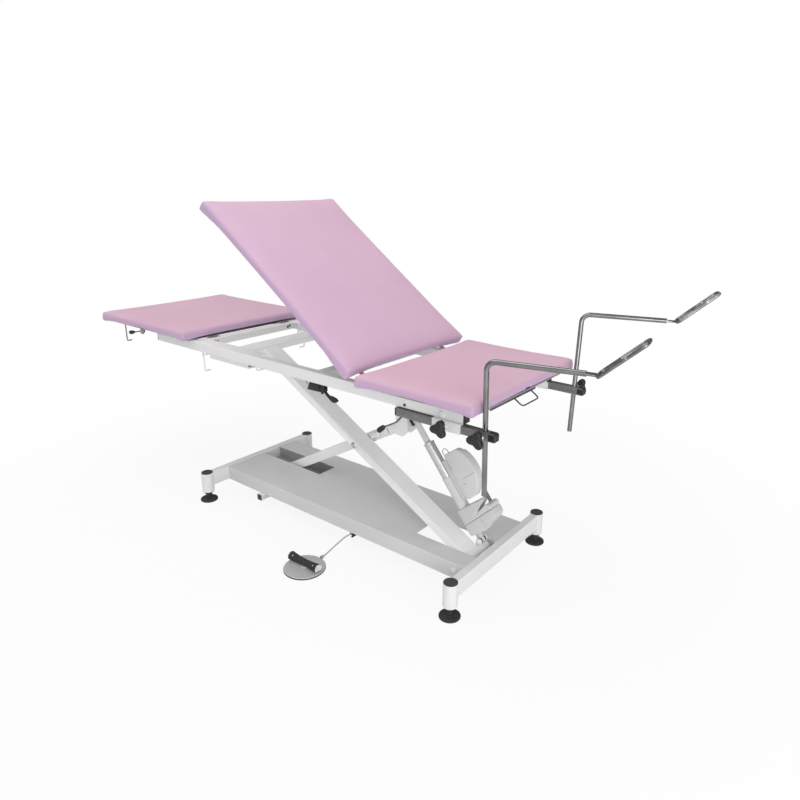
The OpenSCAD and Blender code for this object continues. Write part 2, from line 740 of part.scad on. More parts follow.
module second_arm() {
    collar_t = 13;
    sleeve_half = 200;
    axle_over = lower_roller_gap + lower_roller_w + 1;
    color("white") place() difference() {
        union() {
            second_arm_frame() {
                difference() {
                    translate([0, (second_arm_y + second_arm_far_y) / 2, 0]) rotate([90, 0, 90])
                        linear_extrude(arm_l - 4) round_rectangle(second_arm_w, second_arm_t, tube_corner);
                    block([2, second_arm_y + tube_wall, -second_arm_t / 2 + tube_wall],
                        [arm_l - upper_sleeve_r + 4, second_arm_far_y - tube_wall,
                            second_arm_t / 2 - tube_wall]);
                }
                // Collar and cross bush at the centre pin
                translate([half_arm, second_arm_y - collar_t, 0]) rotate([-90, 0, 0])
                    cylinder(r = 19, h = collar_t + 1);
                translate([half_arm, second_arm_y, 0]) rotate([-90, 0, 0]) cylinder(r = 15, h = second_arm_w);
                // Bush and axle of the lower rollers
                translate([0, second_arm_y, 0]) rotate([-90, 0, 0])
                    cylinder(r = second_arm_t / 2, h = second_arm_w);
                translate([0, second_arm_y - axle_over, 0]) rotate([-90, 0, 0])
                    cylinder(r = axle_r, h = second_arm_w + 2 * axle_over);
            }
            bar_along_y(pivot_x, upper_z, -sleeve_half, sleeve_half, upper_sleeve_r);
        }
        bar_along_y(pivot_x, upper_z, -sleeve_half - 1, sleeve_half + 1, pin_r + bore_gap);
        second_arm_frame() translate([half_arm, second_arm_y - collar_t - 1, 0]) rotate([-90, 0, 0])
            cylinder(r = pin_r + bore_gap, h = second_arm_w + collar_t + 2);
    }
}

// Two ears for the actuator's rod end, with a back plate that is welded to the second arm's side
module actuator_bracket() {
    corner = 14;
    color("whitesmoke") place() {
        for (y = [bracket_near_y, bracket_far_y]) difference() {
            block([bracket_x0, y, bracket_z0], [bracket_x1,
                y + (y < 0 ? bracket_t : second_arm_y - bracket_far_y),
                bracket_z1]);
            translate([bracket_x1, y - 1, bracket_z1]) rotate([0, 45, 0])
                block([-corner, 0, -corner], [corner, 20, corner]);
            translate([bracket_x1, y - 1, bracket_z0]) rotate([0, 45, 0])
                block([-corner, 0, -corner], [corner, 20, corner]);
        }
        block([bracket_x0, bracket_near_y + bracket_t, bracket_z0],
            [bracket_x0 + bracket_t, bracket_far_y, bracket_z1 - 55]);
    }
}

module lower_rollers() {
    color("dimgray") place() for (y = [second_arm_y - lower_roller_gap - lower_roller_w,
            second_arm_far_y + lower_roller_gap])
        translate([roller_x, y, pivot_z]) rotate([-90, 0, 0]) rotate_extrude()
            polygon([[axle_r + bore_gap, 0], [lower_roller_d / 2 - 1.5, 0], [lower_roller_d / 2, 1.5],
                [lower_roller_d / 2, lower_roller_w - 1.5], [lower_roller_d / 2 - 1.5, lower_roller_w],
                [axle_r + bore_gap, lower_roller_w]]);
}

// Gear housing round the screw, with the motor's pod slanting up beside it
module actuator_housing() {
    half_w = (housing_y1 - housing_y0) / 2;
    color("silver") place() actuator_frame() difference() {
        union() {
            translate([0, half_w, 0]) rotate([90, 0, 0]) linear_extrude(2 * half_w)
                polygon([[-22, 30], [-18, 26], [52, 26], [62, 32], [62, 122], [56, 128], [-16,
                    128], [-22, 122]]);
            translate([0, half_w - 3, 0]) rotate([90, 0, 0]) linear_extrude(2 * half_w - 6)
                polygon([[40, 30], [84, 38], [112, 50], [128, 68], [132, 92], [124, 112], [108,
                    118], [92, 114],
                    [64, 88], [40, 84]]);
            translate([0, act_eye_w / 2, 0]) rotate([90, 0, 0]) linear_extrude(act_eye_w)
                union() { circle(r = act_eye_r); translate([0.6 - act_eye_r, 0])
                    square([2 * act_eye_r - 1.2, 28]); }
        }
        translate([0, act_eye_w, 0]) rotate([90, 0, 0]) cylinder(r = act_pin_r + bore_gap, h = 2 * act_eye_w);
        translate([0, 0, 34]) cylinder(r = piston_d / 2 + run_gap, h = 200);
    }
}

module actuator_outer_tube() {
    color("silver") place() actuator_frame() difference() {
        translate([0, 0, outer_tube_s0]) cylinder(r = outer_tube_d / 2, h = outer_tube_s1 - outer_tube_s0);
        translate([0, 0, outer_tube_s0 - 1]) cylinder(r = piston_d / 2 + 0.15, h = outer_tube_s1);
    }
}

module actuator_rings() {
    ring_t = 5.5;
    color("#222222") place() for (y = [lug_near_y + lug_t + run_gap, lug_far_y - run_gap - ring_t])
        translate([act_x0, y, act_z0]) rotate([-90, 0, 0]) difference() {
            cylinder(r = act_eye_r, h = ring_t);
            translate([0, 0, -1]) cylinder(r = act_pin_r + bore_gap, h = ring_t + 2);
        }
}

// Control box beside the outer tube, with a bulging outer side
module control_box() {
    half_w = 24;
    color("lightgray") place() actuator_frame() translate([0, half_w, 0]) rotate([90, 0, 0])
        linear_extrude(2 * half_w)
            polygon([[52, 160], [60, 151], [72, 150], [72, 116], [100, 116], [100, 150], [122,
                152], [134, 158],
                [150, 180], [161, 204], [167, 230], [167, 256], [162, 282], [154, 306], [146,
                    320], [138, 325],
                [60, 325], [52, 316]]);
}

module actuator_piston() {
    color("white") place() actuator_frame() translate([0, 0, piston_s0])
        cylinder(r = piston_d / 2, h = piston_s1 - piston_s0);
}

module actuator_rod_end() {
    color("darkgray") place() actuator_frame() {
        translate([0, 0, piston_s1]) cylinder(r = upper_rod_d / 2, h = actuator_l - piston_s1 - 4);
        translate([0, 2, actuator_l]) rotate([90, 0, 0]) cylinder(r = rod_end_r, h = rod_eye_w,
            center = true);
        translate([0, -18, actuator_l]) rotate([-90, 0, 0]) cylinder(r = 8, h = 41);
    }
}

module side_rails() {
    color("white") place() {
        for (side = [near, far]) {
            y0 = side < 0 ? -rail_out : rail_in;
            difference() {
                tube_along_x([rail_head_x, y0, rail_bottom], [rail_foot_x, y0 + rail_w, rail_top], tube_wall);
                bar_along_y(pivot_x, upper_z, y0 - 1, y0 + rail_w + 1, pin_r + bore_gap);
            }
            // Block that carries the back section's hinge pin
            block([hinge_x - 18, side < 0 ? -rail_in : hinge_block_y, hinge_z - 24],
                [hinge_x + 18, side < 0 ? -hinge_block_y : rail_in, hinge_z + 12]);
            bar_along_y(hinge_x, hinge_z, side < 0 ? -rail_in : hinge_arm_y - 2,
                side < 0 ? -hinge_arm_y + 2 : rail_in, hinge_pin_r);
        }
        // Bracket and pin of the seat lever
        block([lever_x - 9, -rail_in - 6, lever_z - 9], [lever_x + 9, -rail_in, rail_bottom]);
        bar_along_y(lever_x, lever_z, -rail_in - 6, lever_y1 + 3, 3);
        // Anchor pin of the gas spring
        bar_along_y(gas_x, gas_z, -rail_in - 8, gas_y + gas_eye_w / 2 + 2, 5);
        block([gas_x - 12, -rail_in - 8, gas_z - 10], [gas_x + 12, -rail_in, rail_bottom]);
    }
}

module rail_plugs() {
    color("#222222") place() for (side = [near, far]) {
        y0 = side < 0 ? -rail_out : rail_in;
        block([rail_foot_x, y0, rail_bottom], [rail_foot_x + plug_t, y0 + rail_w, rail_top]);
        block([rail_head_x - plug_t, y0, rail_bottom], [rail_head_x, y0 + rail_w, rail_top]);
    }
}

module cross_tubes() {
    color("white") place() {
        tube_along_y([head_tube_x0, -rail_in, rail_top - head_tube_h], [head_tube_x1, rail_in,
            rail_top], tube_wall);
        tube_along_y([middle_tube_x0, -rail_in, rail_bottom], [middle_tube_x1, rail_in, rail_top], tube_wall);
    }
}

// Profile of the near roller track, across the table
module track_profile() {
    top = track_inner_top + track_t;
    lip = -rail_in - 18;
    polygon([[-rail_in, top], [-rail_in + track_depth, top], [-rail_in + track_depth, track_inner_top],
        [-rail_in + track_t, track_inner_top], [-rail_in + track_t, track_bottom + track_t],
        [-rail_in + track_depth, track_bottom + track_t], [-rail_in + track_depth, track_bottom],
        [lip, track_bottom], [lip, rail_bottom], [lip + track_t, rail_bottom],
        [lip + track_t, track_bottom + track_t], [-rail_in, track_bottom + track_t]]);
}

module roller_tracks() {
    color("white") place() for (side = [near, far]) mirror([0, side < 0 ? 0 : 1, 0]) difference() {
        translate([track_x0, 0, 0]) rotate([90, 0, 90]) linear_extrude(track_x1 - track_x0) track_profile();
        // Slanted ends below the rail
        translate([track_x0, 0, track_bottom]) rotate([0, -55, 0]) block([-60, -300, -40], [40, -200, 0]);
        translate([track_x1, 0, track_bottom]) rotate([0, 55, 0]) block([-40, -300, -40], [60, -200, 0]);
    }
}

module support_sleeves() {
    y = bar_y;
    color("white") place() for (side = [near, far]) mirror([0, side < 0 ? 0 : 1, 0]) difference() {
        union() {
            block([sleeve_x0, y - sleeve_s / 2, bar_z - sleeve_s / 2],
                [sleeve_x0 + sleeve_l, y + sleeve_s / 2, rail_bottom]);
            translate([sleeve_knob_x, y - sleeve_s / 2 - 4, bar_z]) rotate([-90, 0, 0])
                cylinder(r = nut_r, h = 6);
        }
        block([sleeve_x0 - 1, y - bar_s / 2 - sleeve_gap, bar_z - bar_s / 2 - sleeve_gap],
            [sleeve_x0 + sleeve_l + 1, y + bar_s / 2 + sleeve_gap, bar_z + bar_s / 2 + sleeve_gap]);
        translate([sleeve_knob_x, y - sleeve_s / 2 - 5, bar_z]) rotate([-90, 0, 0])
            cylinder(r = stud_r + bore_gap, h = 12);
    }
}

module upper_pivot_pin() {
    color("gainsboro") place() {
        bar_along_y(pivot_x, upper_z, -rail_out, rail_out, pin_r);
        for (side = [near, far]) translate([pivot_x, side * rail_out, upper_z]) rotate([side * 90, 0, 0])
            pin_cap(cap_r + 1, cap_t);
    }
}

// Sheet under the seat, with the runners of the slide tray folded down from it
module seat_board() {
    runner_drop = 9;
    runner_t = 1.5;
    shelf_w = 7;
    runner_x0 = slide_x0 - 5;
    runner_x1 = slide_x1 - 2.5;
    color("gainsboro") place() {
        block([seat_x + 10, -cushion_w / 2 + board_inset, rail_top],
            [seat_x + seat_l - 10, cushion_w / 2 - board_inset, cushion_bottom]);
        for (side = [-1, 1]) {
            y = slide_y + side * (slide_w / 2 + 1.5);
            block([runner_x0, y - runner_t / 2, rail_top - runner_drop], [runner_x1,
                y + runner_t / 2, rail_top]);
            block([runner_x0, side < 0 ? y : y - shelf_w, rail_top - runner_drop],
                [runner_x1, side < 0 ? y + shelf_w : y, rail_top - runner_drop + runner_t]);
        }
    }
}

module seat_cushion() {
    color("plum") place() translate([seat_x + seat_l / 2, 0, cushion_bottom]) cushion(seat_l,
        cushion_w, cushion_t,
        cushion_crown);
}

// Wire hook that hangs down and ends in a short foot
module wire_hook(x, y, z0, z1, foot) {
    translate([x, y, 0]) rotate([90, 0, 90]) wire([[0, z1], [0, z0], [foot, z0]], 6, 3);
}

module rail_hooks() {
    color("whitesmoke") place() for (side = [near, far])
        wire_hook(-640, side * (rail_in + 21), rail_bottom - 81, rail_bottom, -side * 26);
}

module release_box() {
    color("#222222") place() {
        block([-40, release_y0, rail_bottom - 31], [38, release_y1, rail_bottom]);
        for (y = [release_y0, release_y1 - 3]) block([37, y, release_z - 7], [paddle_x + 7,
            y + 3, release_z + 7]);
        bar_along_y(paddle_x, release_z, release_y0, release_y1, 3);
    }
}

// Leaves of the head hinge on the first cross tube, with a rolled edge each
module head_hinge() {
    leaf_x0 = head_hinge_x + knuckle_r + 0.4;
    leaf_x1 = head_tube_x0 + 22;
    half = leaf_w / 2;
    color("dimgray") place() for (side = [near, far]) translate([0, side * leaf_y, 0]) {
        translate([0, 0, rail_top]) linear_extrude(leaf_t)
            polygon([[leaf_x0, -half], [leaf_x1, -half], [leaf_x1, half], [leaf_x0, half],
                [leaf_x0, half / 2],
                [head_hinge_x, half / 2], [head_hinge_x, -half / 2], [leaf_x0, -half / 2]]);
        translate([head_hinge_x, -half / 2, head_hinge_z]) rotate([-90, 0, 0])
            cylinder(r = knuckle_r, h = half);
    }
}

module slide_tray() {
    wall = 1.2;
    floor_z = rail_top - 7.2;
    lip_z = rail_top - 13;
    handle_r = 2.5;
    handle_out = 36;
    handle_half = 54;
    color("darkgray") place() {
        difference() {
            block([slide_x0, slide_y - slide_w / 2, floor_z], [slide_x1, slide_y + slide_w / 2,
                rail_top - 1]);
            block([slide_x0 + wall, slide_y - slide_w / 2 + wall, floor_z + wall],
                [slide_x1 - wall, slide_y + slide_w / 2 - wall, rail_top]);
        }
        block([slide_x1 - wall, slide_y - slide_w / 2, lip_z], [slide_x1, slide_y + slide_w / 2,
            rail_top - 1]);
        // Bent wire handle below the lip
        translate([slide_x1 - wall / 2, -3, lip_z + 3]) rotate([0, 33, 0])
            wire([[0, -handle_half], [handle_out, -handle_half], [handle_out, handle_half], [0, handle_half]],
                12, handle_r);
    }
}

// Bent lever below the release box
module release_paddle() {
    mid_y = (release_y0 + release_y1) / 2;
    color("#222222") place() translate([paddle_x, mid_y, release_z]) difference() {
        union() {
            rotate([90, 0, 0]) cylinder(r = 7, h = 11, center = true);
            rotate([0, 34, 0]) block([0, -4, -2], [40, 4, 2]);
            translate([32, 0, -20.5]) rotate([0, 38, 0]) block([0, -9, -4], [30, 9, 3]);
        }
        rotate([90, 0, 0]) cylinder(r = 3 + bore_gap, h = 20, center = true);
    }
}

// Flat strip that follows points in a plane, with rounded joints
module strip(points, half_w) {
    for (k = [0:len(points) - 2]) {
        step = points[k + 1] - points[k];
        translate(points[k]) rotate(atan2(step[1], step[0])) translate([0, -half_w])
            square([norm(step), 2 * half_w]);
    }
    for (p = points) translate(p) circle(r = half_w - 0.1);
}

// Bent flat lever with a round grip, under the near rail
module seat_lever() {
    route = [[lever_x, lever_z], [366, 620], [347, 592], [306, 568]];
    mid_y = (lever_y0 + lever_y1) / 2;
    color("#333333") place() difference() {
        union() {
            translate([0, lever_y1, 0]) rotate([90, 0, 0]) linear_extrude(lever_y1 - lever_y0)
                strip(route, 4);
            bar_along_y(lever_x, lever_z, lever_y0 - 0.5, lever_y1 + 0.5, 8);
            translate([route[3][0] - 3, mid_y, route[3][1] - 2]) rotate([0, -90 - 31, 0]) {
                cylinder(r = 2.6, h = 16);
                translate([0, 0, 14]) grip(30, 9.5);
            }
        }
        bar_along_y(lever_x, lever_z, lever_y0 - 2, lever_y1 + 2, 3 + bore_gap);
    }
}

module back_frame() {
    color("gainsboro") place() back_section_frame() difference() {
        union() {
            block([back_end - back_l + 15, -cushion_w / 2 + board_inset, back_lift - board_t],
                [back_end - 15, cushion_w / 2 - board_inset, back_lift]);
            for (side = [near, far]) {
                y0 = side < 0 ? -hinge_arm_y - hinge_arm_t : hinge_arm_y;
                translate([0, y0 + hinge_arm_t, 0]) rotate([90, 0, 0]) linear_extrude(hinge_arm_t) union() {
                    circle(r = 13);
                    polygon([[0, -13], [-40, -12], [-hinge_arm_l, -1], [-hinge_arm_l, back_lift - board_t],
                        [back_end, back_lift - board_t], [0, 13]]);
                }
            }
            // Crank of the gas spring on the near hinge arm
            translate([0, -hinge_arm_y, 0]) rotate([90, 0, 0]) linear_extrude(hinge_arm_t) union() {
                translate([crank_x, crank_z]) circle(r = 11);
                polygon([[-12, -5], [crank_x - 11, crank_z], [crank_x + 8, crank_z + 7.5], [12, 5]]);
            }
            translate([crank_x, -hinge_arm_y - 1, crank_z]) rotate([-90, 0, 0]) cylinder(r = 5, h = 15);
        }
        for (side = [near, far]) translate([0,
            side < 0 ? -hinge_arm_y - hinge_arm_t - 1 : hinge_arm_y - 1, 0])
            rotate([-90, 0, 0]) cylinder(r = hinge_pin_r + bore_gap, h = hinge_arm_t + 2);
    }
}

module back_cushion() {
    color("plum") place() back_section_frame() translate([back_end - back_l / 2, 0, back_lift])
        cushion(back_l, cushion_w, cushion_t, cushion_crown);
}

module gas_cylinder() {
    body_l = 176;
    color("#222222") place() gas_frame() difference() {
        union() {
            translate([9, 0, 0]) rotate([0, 90, 0]) cylinder(r = gas_r, h = body_l - 9);
            rotate([-90, 0, 0]) cylinder(r = 12, h = gas_eye_w, center = true);
        }
        rotate([-90, 0, 0]) cylinder(r = 5 + bore_gap, h = 3 * gas_eye_w, center = true);
        translate([30, 0, 0]) rotate([0, 90, 0]) cylinder(r = gas_rod_r + bore_gap, h = body_l);
    }
}

module gas_rod() {
    color("silver") place() gas_frame() {
        translate([105, 0, 0]) rotate([0, 90, 0]) cylinder(r = gas_rod_r, h = gas_l - 105);
        translate([gas_l, 0, 0]) rotate([-90, 0, 0]) cylinder(r = 9, h = 12, center = true);
    }
}

module head_board() {
    hook_x = -1238;
    color("gainsboro") place() {
        block([head_x - head_l + 15, -cushion_w / 2 + board_inset, board_bottom],
            [head_hinge_x - 3, cushion_w / 2 - board_inset, cushion_bottom]);
        for (side = [near, far]) for (end = [-1, 1])
            translate([head_hinge_x, side * leaf_y + end * (leaf_w / 4 + 0.3), head_hinge_z]) {
                rotate([end * -90, 0, 0]) cylinder(r = knuckle_r, h = leaf_w / 4);
                block([-4, end < 0 ? -leaf_w / 4 : 0, -1], [0, end < 0 ? 0 : leaf_w / 4, knuckle_r - 0.4]);
            }
        for (side = [near, far])
            wire_hook(hook_x, side * head_hook_y, rail_bottom - 50, board_bottom + 1, -side * 22);
        // Bracket of the release lever
        block([head_lever_x - 10, lever_plate_y, head_lever_z - 12],
            [head_lever_x + 10, lever_plate_y + lever_plate_t, board_bottom + 1]);
        bar_along_y(head_lever_x, head_lever_z, head_lever_y - 1, head_lever_y + head_lever_t + 1, 3);
    }
}

module head_cushion() {
    color("plum") place() translate([head_x - head_l / 2, 0, cushion_bottom]) cushion(head_l,
        cushion_w, cushion_t,
        cushion_crown);
}

// Release lever of the head section: a thin rod with a black grip
module head_lever() {
    tilt = 12;
    color("#222222") place() translate([head_lever_x, head_lever_y, head_lever_z]) difference() {
        union() {
            rotate([-90, 0, 0]) cylinder(r = 8, h = head_lever_t);
            translate([0, head_lever_t / 2, 0]) rotate([0, -90 - tilt, 0]) {
                cylinder(r = 2.5, h = 90);
                translate([0, 0, 82]) grip(36, 9);
            }
        }
        translate([0, -1, 0]) rotate([-90, 0, 0]) cylinder(r = 3 + bore_gap, h = head_lever_t + 2);
    }
}

// Square support bar with its cross bore for the rod and the nut of the clamping knob
module support_bar(shift) {
    color("#4a4a4a") difference() {
        union() {
            block([bar_x0 + shift, bar_y - bar_s / 2, bar_z - bar_s / 2],
                [bar_x0 + shift + bar_l, bar_y + bar_s / 2, bar_z + bar_s / 2]);
            translate([support_x + shift, bar_y - bar_s / 2 - nut_t, bar_z]) rotate([-90, 0, 0])
                cylinder(r = nut_r, h = nut_t + 1);
        }
        translate([support_x + shift, bar_y, bar_z]) rotate([rod_lean, 0, 0])
            cylinder(r = rod_d / 2 + bore_gap, h = 4 * bar_s, center = true);
        translate([support_x + shift, bar_y - bar_s / 2 - nut_t - 1, bar_z]) rotate([-90, 0, 0])
            cylinder(r = stud_r + bore_gap, h = nut_t + bar_s / 2);
    }
}

module near_bar() { place() support_bar(0); }

module far_bar() { place() mirror([0, 1, 0]) support_bar(far_bar_shift); }

module bar_plugs(shift) {
    t = 5;
    color("#222222") for (x = [bar_x0 + shift - t, bar_x0 + shift + bar_l])
        block([x, bar_y - bar_s / 2, bar_z - bar_s / 2], [x + t, bar_y + bar_s / 2, bar_z + bar_s / 2]);
}

module near_bar_plugs() { place() bar_plugs(0); }

module far_bar_plugs() { place() mirror([0, 1, 0]) bar_plugs(far_bar_shift); }

// The frame of a leg support: the origin is where its rod crosses the bar
module near_support_frame() { translate([support_x, bar_y, bar_z]) rotate([rod_lean, 0, 0]) children(); }
module far_support_frame() {
    translate([support_x + far_bar_shift, -bar_y, bar_z]) rotate([-rod_lean, 0, 0]) children();
}

// Rod with a bend and a horizontal arm whose end is pressed flat
module support_rod(z0, z1, turn) {
    r = rod_d / 2;
    flat_l = 26;
    color("gray") rotate([90, 0, turn]) {
        wire([[0, z0], [0, z1], [support_arm_l - flat_l, z1]], bend_r, r);
        translate([support_arm_l - flat_l, z1 - 3, -r]) cube([flat_l, 6, 2 * r]);
    }
}

// Closed loop of round rod with a cross link, rising from the arm's end
module heel_loop(z1, turn) {
    r = heel_rod_d / 2;
    half = heel_loop_w / 2;
    link = 0.42 * heel_loop_l;
    corner = 14;
    color("gray") translate([0, 0, z1]) rotate([0, 0, turn]) translate([support_arm_l + r, 0, 0])
        rotate([0, -heel_loop_rise, 0]) {
            for (side = [-1, 1]) translate([corner, side * half, 0]) rotate([0, 90, 0])
                cylinder(r = r, h = heel_loop_l - 2 * corner);
            for (x = [0, heel_loop_l]) translate([x, corner - half, 0]) rotate([-90, 0, 0])
                cylinder(r = r, h = 2 * (half - corner));
            for (side = [-1, 1]) for (far_end = [0, 1])
                translate([far_end ? heel_loop_l - corner : corner, side * (half - corner), 0])
                    rotate([0, 0, far_end ? (side > 0 ? 0 : 270) : (side > 0 ? 90 : 180)])
                        rotate_extrude(angle = 90) translate([corner, 0]) circle(r = r);
            translate([link, -half, 0]) rotate([-90, 0, 0]) cylinder(r = r, h = 2 * half);
        }
}

module near_support() {
    place() near_support_frame() support_rod(near_support_z0 - bar_z, near_support_z1 - bar_z,
        near_support_turn);
}

module far_support() {
    place() far_support_frame() support_rod(far_support_z0 - bar_z, far_support_z1 - bar_z, far_support_turn);
}

module near_heel_loop() {
    place() near_support_frame() heel_loop(near_support_z1 - bar_z, near_support_turn);
}

module far_heel_loop() {
    place() far_support_frame() heel_loop(far_support_z1 - bar_z, far_support_turn);
}

module near_sleeve_knob() {
    color("#222222") place() translate([sleeve_knob_x, bar_y - sleeve_s / 2 - sleeve_knob_out, bar_z])
        rotate([90, 90, 0]) knob(sleeve_knob_out);
}

module far_sleeve_knob() {
    color("#222222") place() mirror([0, 1, 0]) translate([sleeve_knob_x,
        bar_y - sleeve_s / 2 - sleeve_knob_out, bar_z])
        rotate([90, 90, 0]) knob(sleeve_knob_out);
}

module near_bar_knob() {
    color("#222222") place() translate([support_x, bar_y - bar_s / 2 - bar_knob_out, bar_z])
        rotate([90, 70, 0])
        knob(bar_knob_out + 3);
}

module far_bar_knob() {
    color("#222222") place() mirror([0, 1, 0])
        translate([support_x + far_bar_shift, bar_y - bar_s / 2 - bar_knob_out, bar_z]) rotate([90, 70, 0])
            knob(bar_knob_out + 3);
}

corner_posts();
end_tubes();
base_caps();
levelling_feet();
base_pan();
pan_cross_tube();
roller_tray();
lower_pivot_pin();
switch_plate();
switch_relief();
switch_cord();
cord_clip();
switch_rocker();
rocker_end_caps();
main_arm();
upper_crosshead();
centre_pin();
upper_rollers();
second_arm();
actuator_bracket();
lower_rollers();
actuator_housing();
actuator_outer_tube();
actuator_rings();
control_box();
actuator_piston();
actuator_rod_end();
side_rails();
rail_plugs();
cross_tubes();
roller_tracks();
support_sleeves();
upper_pivot_pin();
seat_board();
seat_cushion();
rail_hooks();
release_box();
head_hinge();
slide_tray();
release_paddle();
seat_lever();
back_frame();
back_cushion();
gas_cylinder();
gas_rod();
head_board();
head_cushion();
head_lever();
near_bar();
far_bar();
near_bar_plugs();
far_bar_plugs();
near_support();
far_support();
near_heel_loop();
far_heel_loop();
near_sleeve_knob();
far_sleeve_knob();
near_bar_knob();
far_bar_knob();
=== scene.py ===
import bpy
import math
from mathutils import Matrix, Vector


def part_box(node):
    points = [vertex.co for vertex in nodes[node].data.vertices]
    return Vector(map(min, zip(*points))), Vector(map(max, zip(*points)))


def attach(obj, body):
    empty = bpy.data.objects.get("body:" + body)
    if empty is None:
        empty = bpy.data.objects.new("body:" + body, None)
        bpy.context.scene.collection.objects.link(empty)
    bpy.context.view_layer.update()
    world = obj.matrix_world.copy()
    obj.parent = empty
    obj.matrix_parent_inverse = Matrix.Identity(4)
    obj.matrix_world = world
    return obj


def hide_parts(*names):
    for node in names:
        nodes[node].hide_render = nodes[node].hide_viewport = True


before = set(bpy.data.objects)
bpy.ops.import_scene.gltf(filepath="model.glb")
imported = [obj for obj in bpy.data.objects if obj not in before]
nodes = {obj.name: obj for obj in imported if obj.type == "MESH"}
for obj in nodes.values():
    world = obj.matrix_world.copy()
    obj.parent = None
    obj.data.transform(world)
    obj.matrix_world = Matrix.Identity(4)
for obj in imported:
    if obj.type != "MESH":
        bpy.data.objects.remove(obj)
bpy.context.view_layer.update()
print("frame loaded:", len(nodes), "nodes")

# millimetres from the middle of the base, as in the part's source, become metres in the part's frame
baseSet = {"postMiddle": (-30.5, 0)}  # where the middle of the four posts stands in the source
postLow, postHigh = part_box("corner_posts")
tableShift = {"x": (postLow.x + postHigh.x) * 500 - baseSet["postMiddle"][0],
              "y": (postLow.y + postHigh.y) * 500 - baseSet["postMiddle"][1]}


def fromBase(x, y, z):
    return Vector(((x + tableShift["x"]) / 1000, (y + tableShift["y"]) / 1000, z / 1000))


def placeAt(x, y, z, turnX=0, turnY=0, turnZ=0):
    turn = Matrix.Rotation(math.radians(turnZ), 4, "Z") @ Matrix.Rotation(math.radians(turnY), 4, "Y")
    return Matrix.Translation(fromBase(x, y, z)) @ turn @ Matrix.Rotation(math.radians(turnX), 4, "X")


# camera: where the photograph was taken from
cameraSet = {"at": (1576, -1740, 1335), "forward": (-0.57265, 0.76125, -0.30426), "roll": 0.882,
             "lens": 28.87, "sensor": 36, "shiftX": -0.0284, "shiftY": -0.0179, "far": 100}


def addCamera():
    forward = Vector(cameraSet["forward"]).normalized()
    right = forward.cross(Vector((0, 0, 1))).normalized()
    up = right.cross(forward)
    roll = math.radians(cameraSet["roll"])
    imageRight = right * math.cos(roll) + up * math.sin(roll)
    imageUp = up * math.cos(roll) - right * math.sin(roll)
    bpy.ops.object.camera_add()
    camera = bpy.context.object
    turn = Matrix((imageRight, imageUp, -forward)).transposed().to_4x4()
    camera.matrix_world = Matrix.Translation(fromBase(*cameraSet["at"])) @ turn
    camera.data.lens = cameraSet["lens"]
    camera.data.sensor_width = cameraSet["sensor"]
    camera.data.shift_x = cameraSet["shiftX"]
    camera.data.shift_y = cameraSet["shiftY"]
    camera.data.clip_end = cameraSet["far"]
    bpy.context.scene.camera = camera


addCamera()
bpy.context.scene.view_settings.view_transform = "Standard"


# ways of making a piece, as they are used by hand
def deselectAll():
    if bpy.context.object and bpy.context.object.mode != "OBJECT":
        bpy.ops.object.mode_set(mode="OBJECT")
    bpy.ops.object.select_all(action="DESELECT")


def makeActive(piece):
    deselectAll()
    bpy.context.view_layer.objects.active = piece
    piece.select_set(True)


def editAll(piece):
    makeActive(piece)
    bpy.ops.object.mode_set(mode="EDIT")
    bpy.ops.mesh.select_all(action="SELECT")


def backToObject():
    bpy.ops.object.mode_set(mode="OBJECT")


def settle(piece, place=None):
    # the place goes into the mesh, so the object itself stays at the origin
    if place is not None:
        piece.matrix_world = place @ piece.matrix_world
    makeActive(piece)
    bpy.ops.object.transform_apply(location=True, rotation=True, scale=True)


def applyModifier(piece, kind, **values):
    makeActive(piece)
    modifier = piece.modifiers.new(kind.title(), kind)
    for key, value in values.items():
        setattr(modifier, key, value)
    bpy.ops.object.modifier_apply(modifier=modifier.name)


def smoothPiece(piece, angle=35):
    makeActive(piece)
    bpy.ops.object.shade_smooth_by_angle(angle=math.radians(angle))


def softenEdges(piece, width, segments=2, angle=30):
    applyModifier(piece, "BEVEL", width=width / 1000, segments=segments, limit_method="ANGLE",
                  angle_limit=math.radians(angle))


def cleanShell(piece):
    editAll(piece)
    bpy.ops.mesh.remove_doubles(threshold=0.00001)
    bpy.ops.mesh.normals_make_consistent(inside=False)
    backToObject()


def startPiece(name):
    piece = bpy.context.object
    piece.name = name
    piece.data.name = name
    return piece


def turnedPiece(name, rings, place, sides=48, smooth=35):
    # rings are (height, radius) pairs in millimetres: a disc is extruded and scaled from ring to ring
    deselectAll()
    bpy.ops.mesh.primitive_circle_add(vertices=sides, radius=rings[0][1] / 1000, fill_type="NGON")
    piece = startPiece(name)
    editAll(piece)
    bpy.ops.transform.translate(value=(0, 0, rings[0][0] / 1000))
    for (z0, r0), (z1, r1) in zip(rings, rings[1:]):
        bpy.ops.mesh.extrude_region_move(TRANSFORM_OT_translate={"value": (0, 0, (z1 - z0) / 1000)})
        scale = max(r1, 0.01) / max(r0, 0.01)
        if abs(scale - 1) > 1e-6:
            bpy.ops.transform.resize(value=(scale, scale, 1), center_override=(0, 0, z1 / 1000))
    backToObject()
    cleanShell(piece)
    settle(piece, place)
    smoothPiece(piece, smooth)
    return piece


def blockPiece(name, low, high, soften, place, segments=2, smooth=35):
    deselectAll()
    size = [(b - a) / 1000 for a, b in zip(low, high)]
    middle = [(b + a) / 2000 for a, b in zip(low, high)]
    bpy.ops.mesh.primitive_cube_add(size=1, location=middle)
    piece = startPiece(name)
    piece.scale = size
    settle(piece)
    if soften:
        softenEdges(piece, soften, segments)
    settle(piece, place)
    smoothPiece(piece, smooth)
    return piece


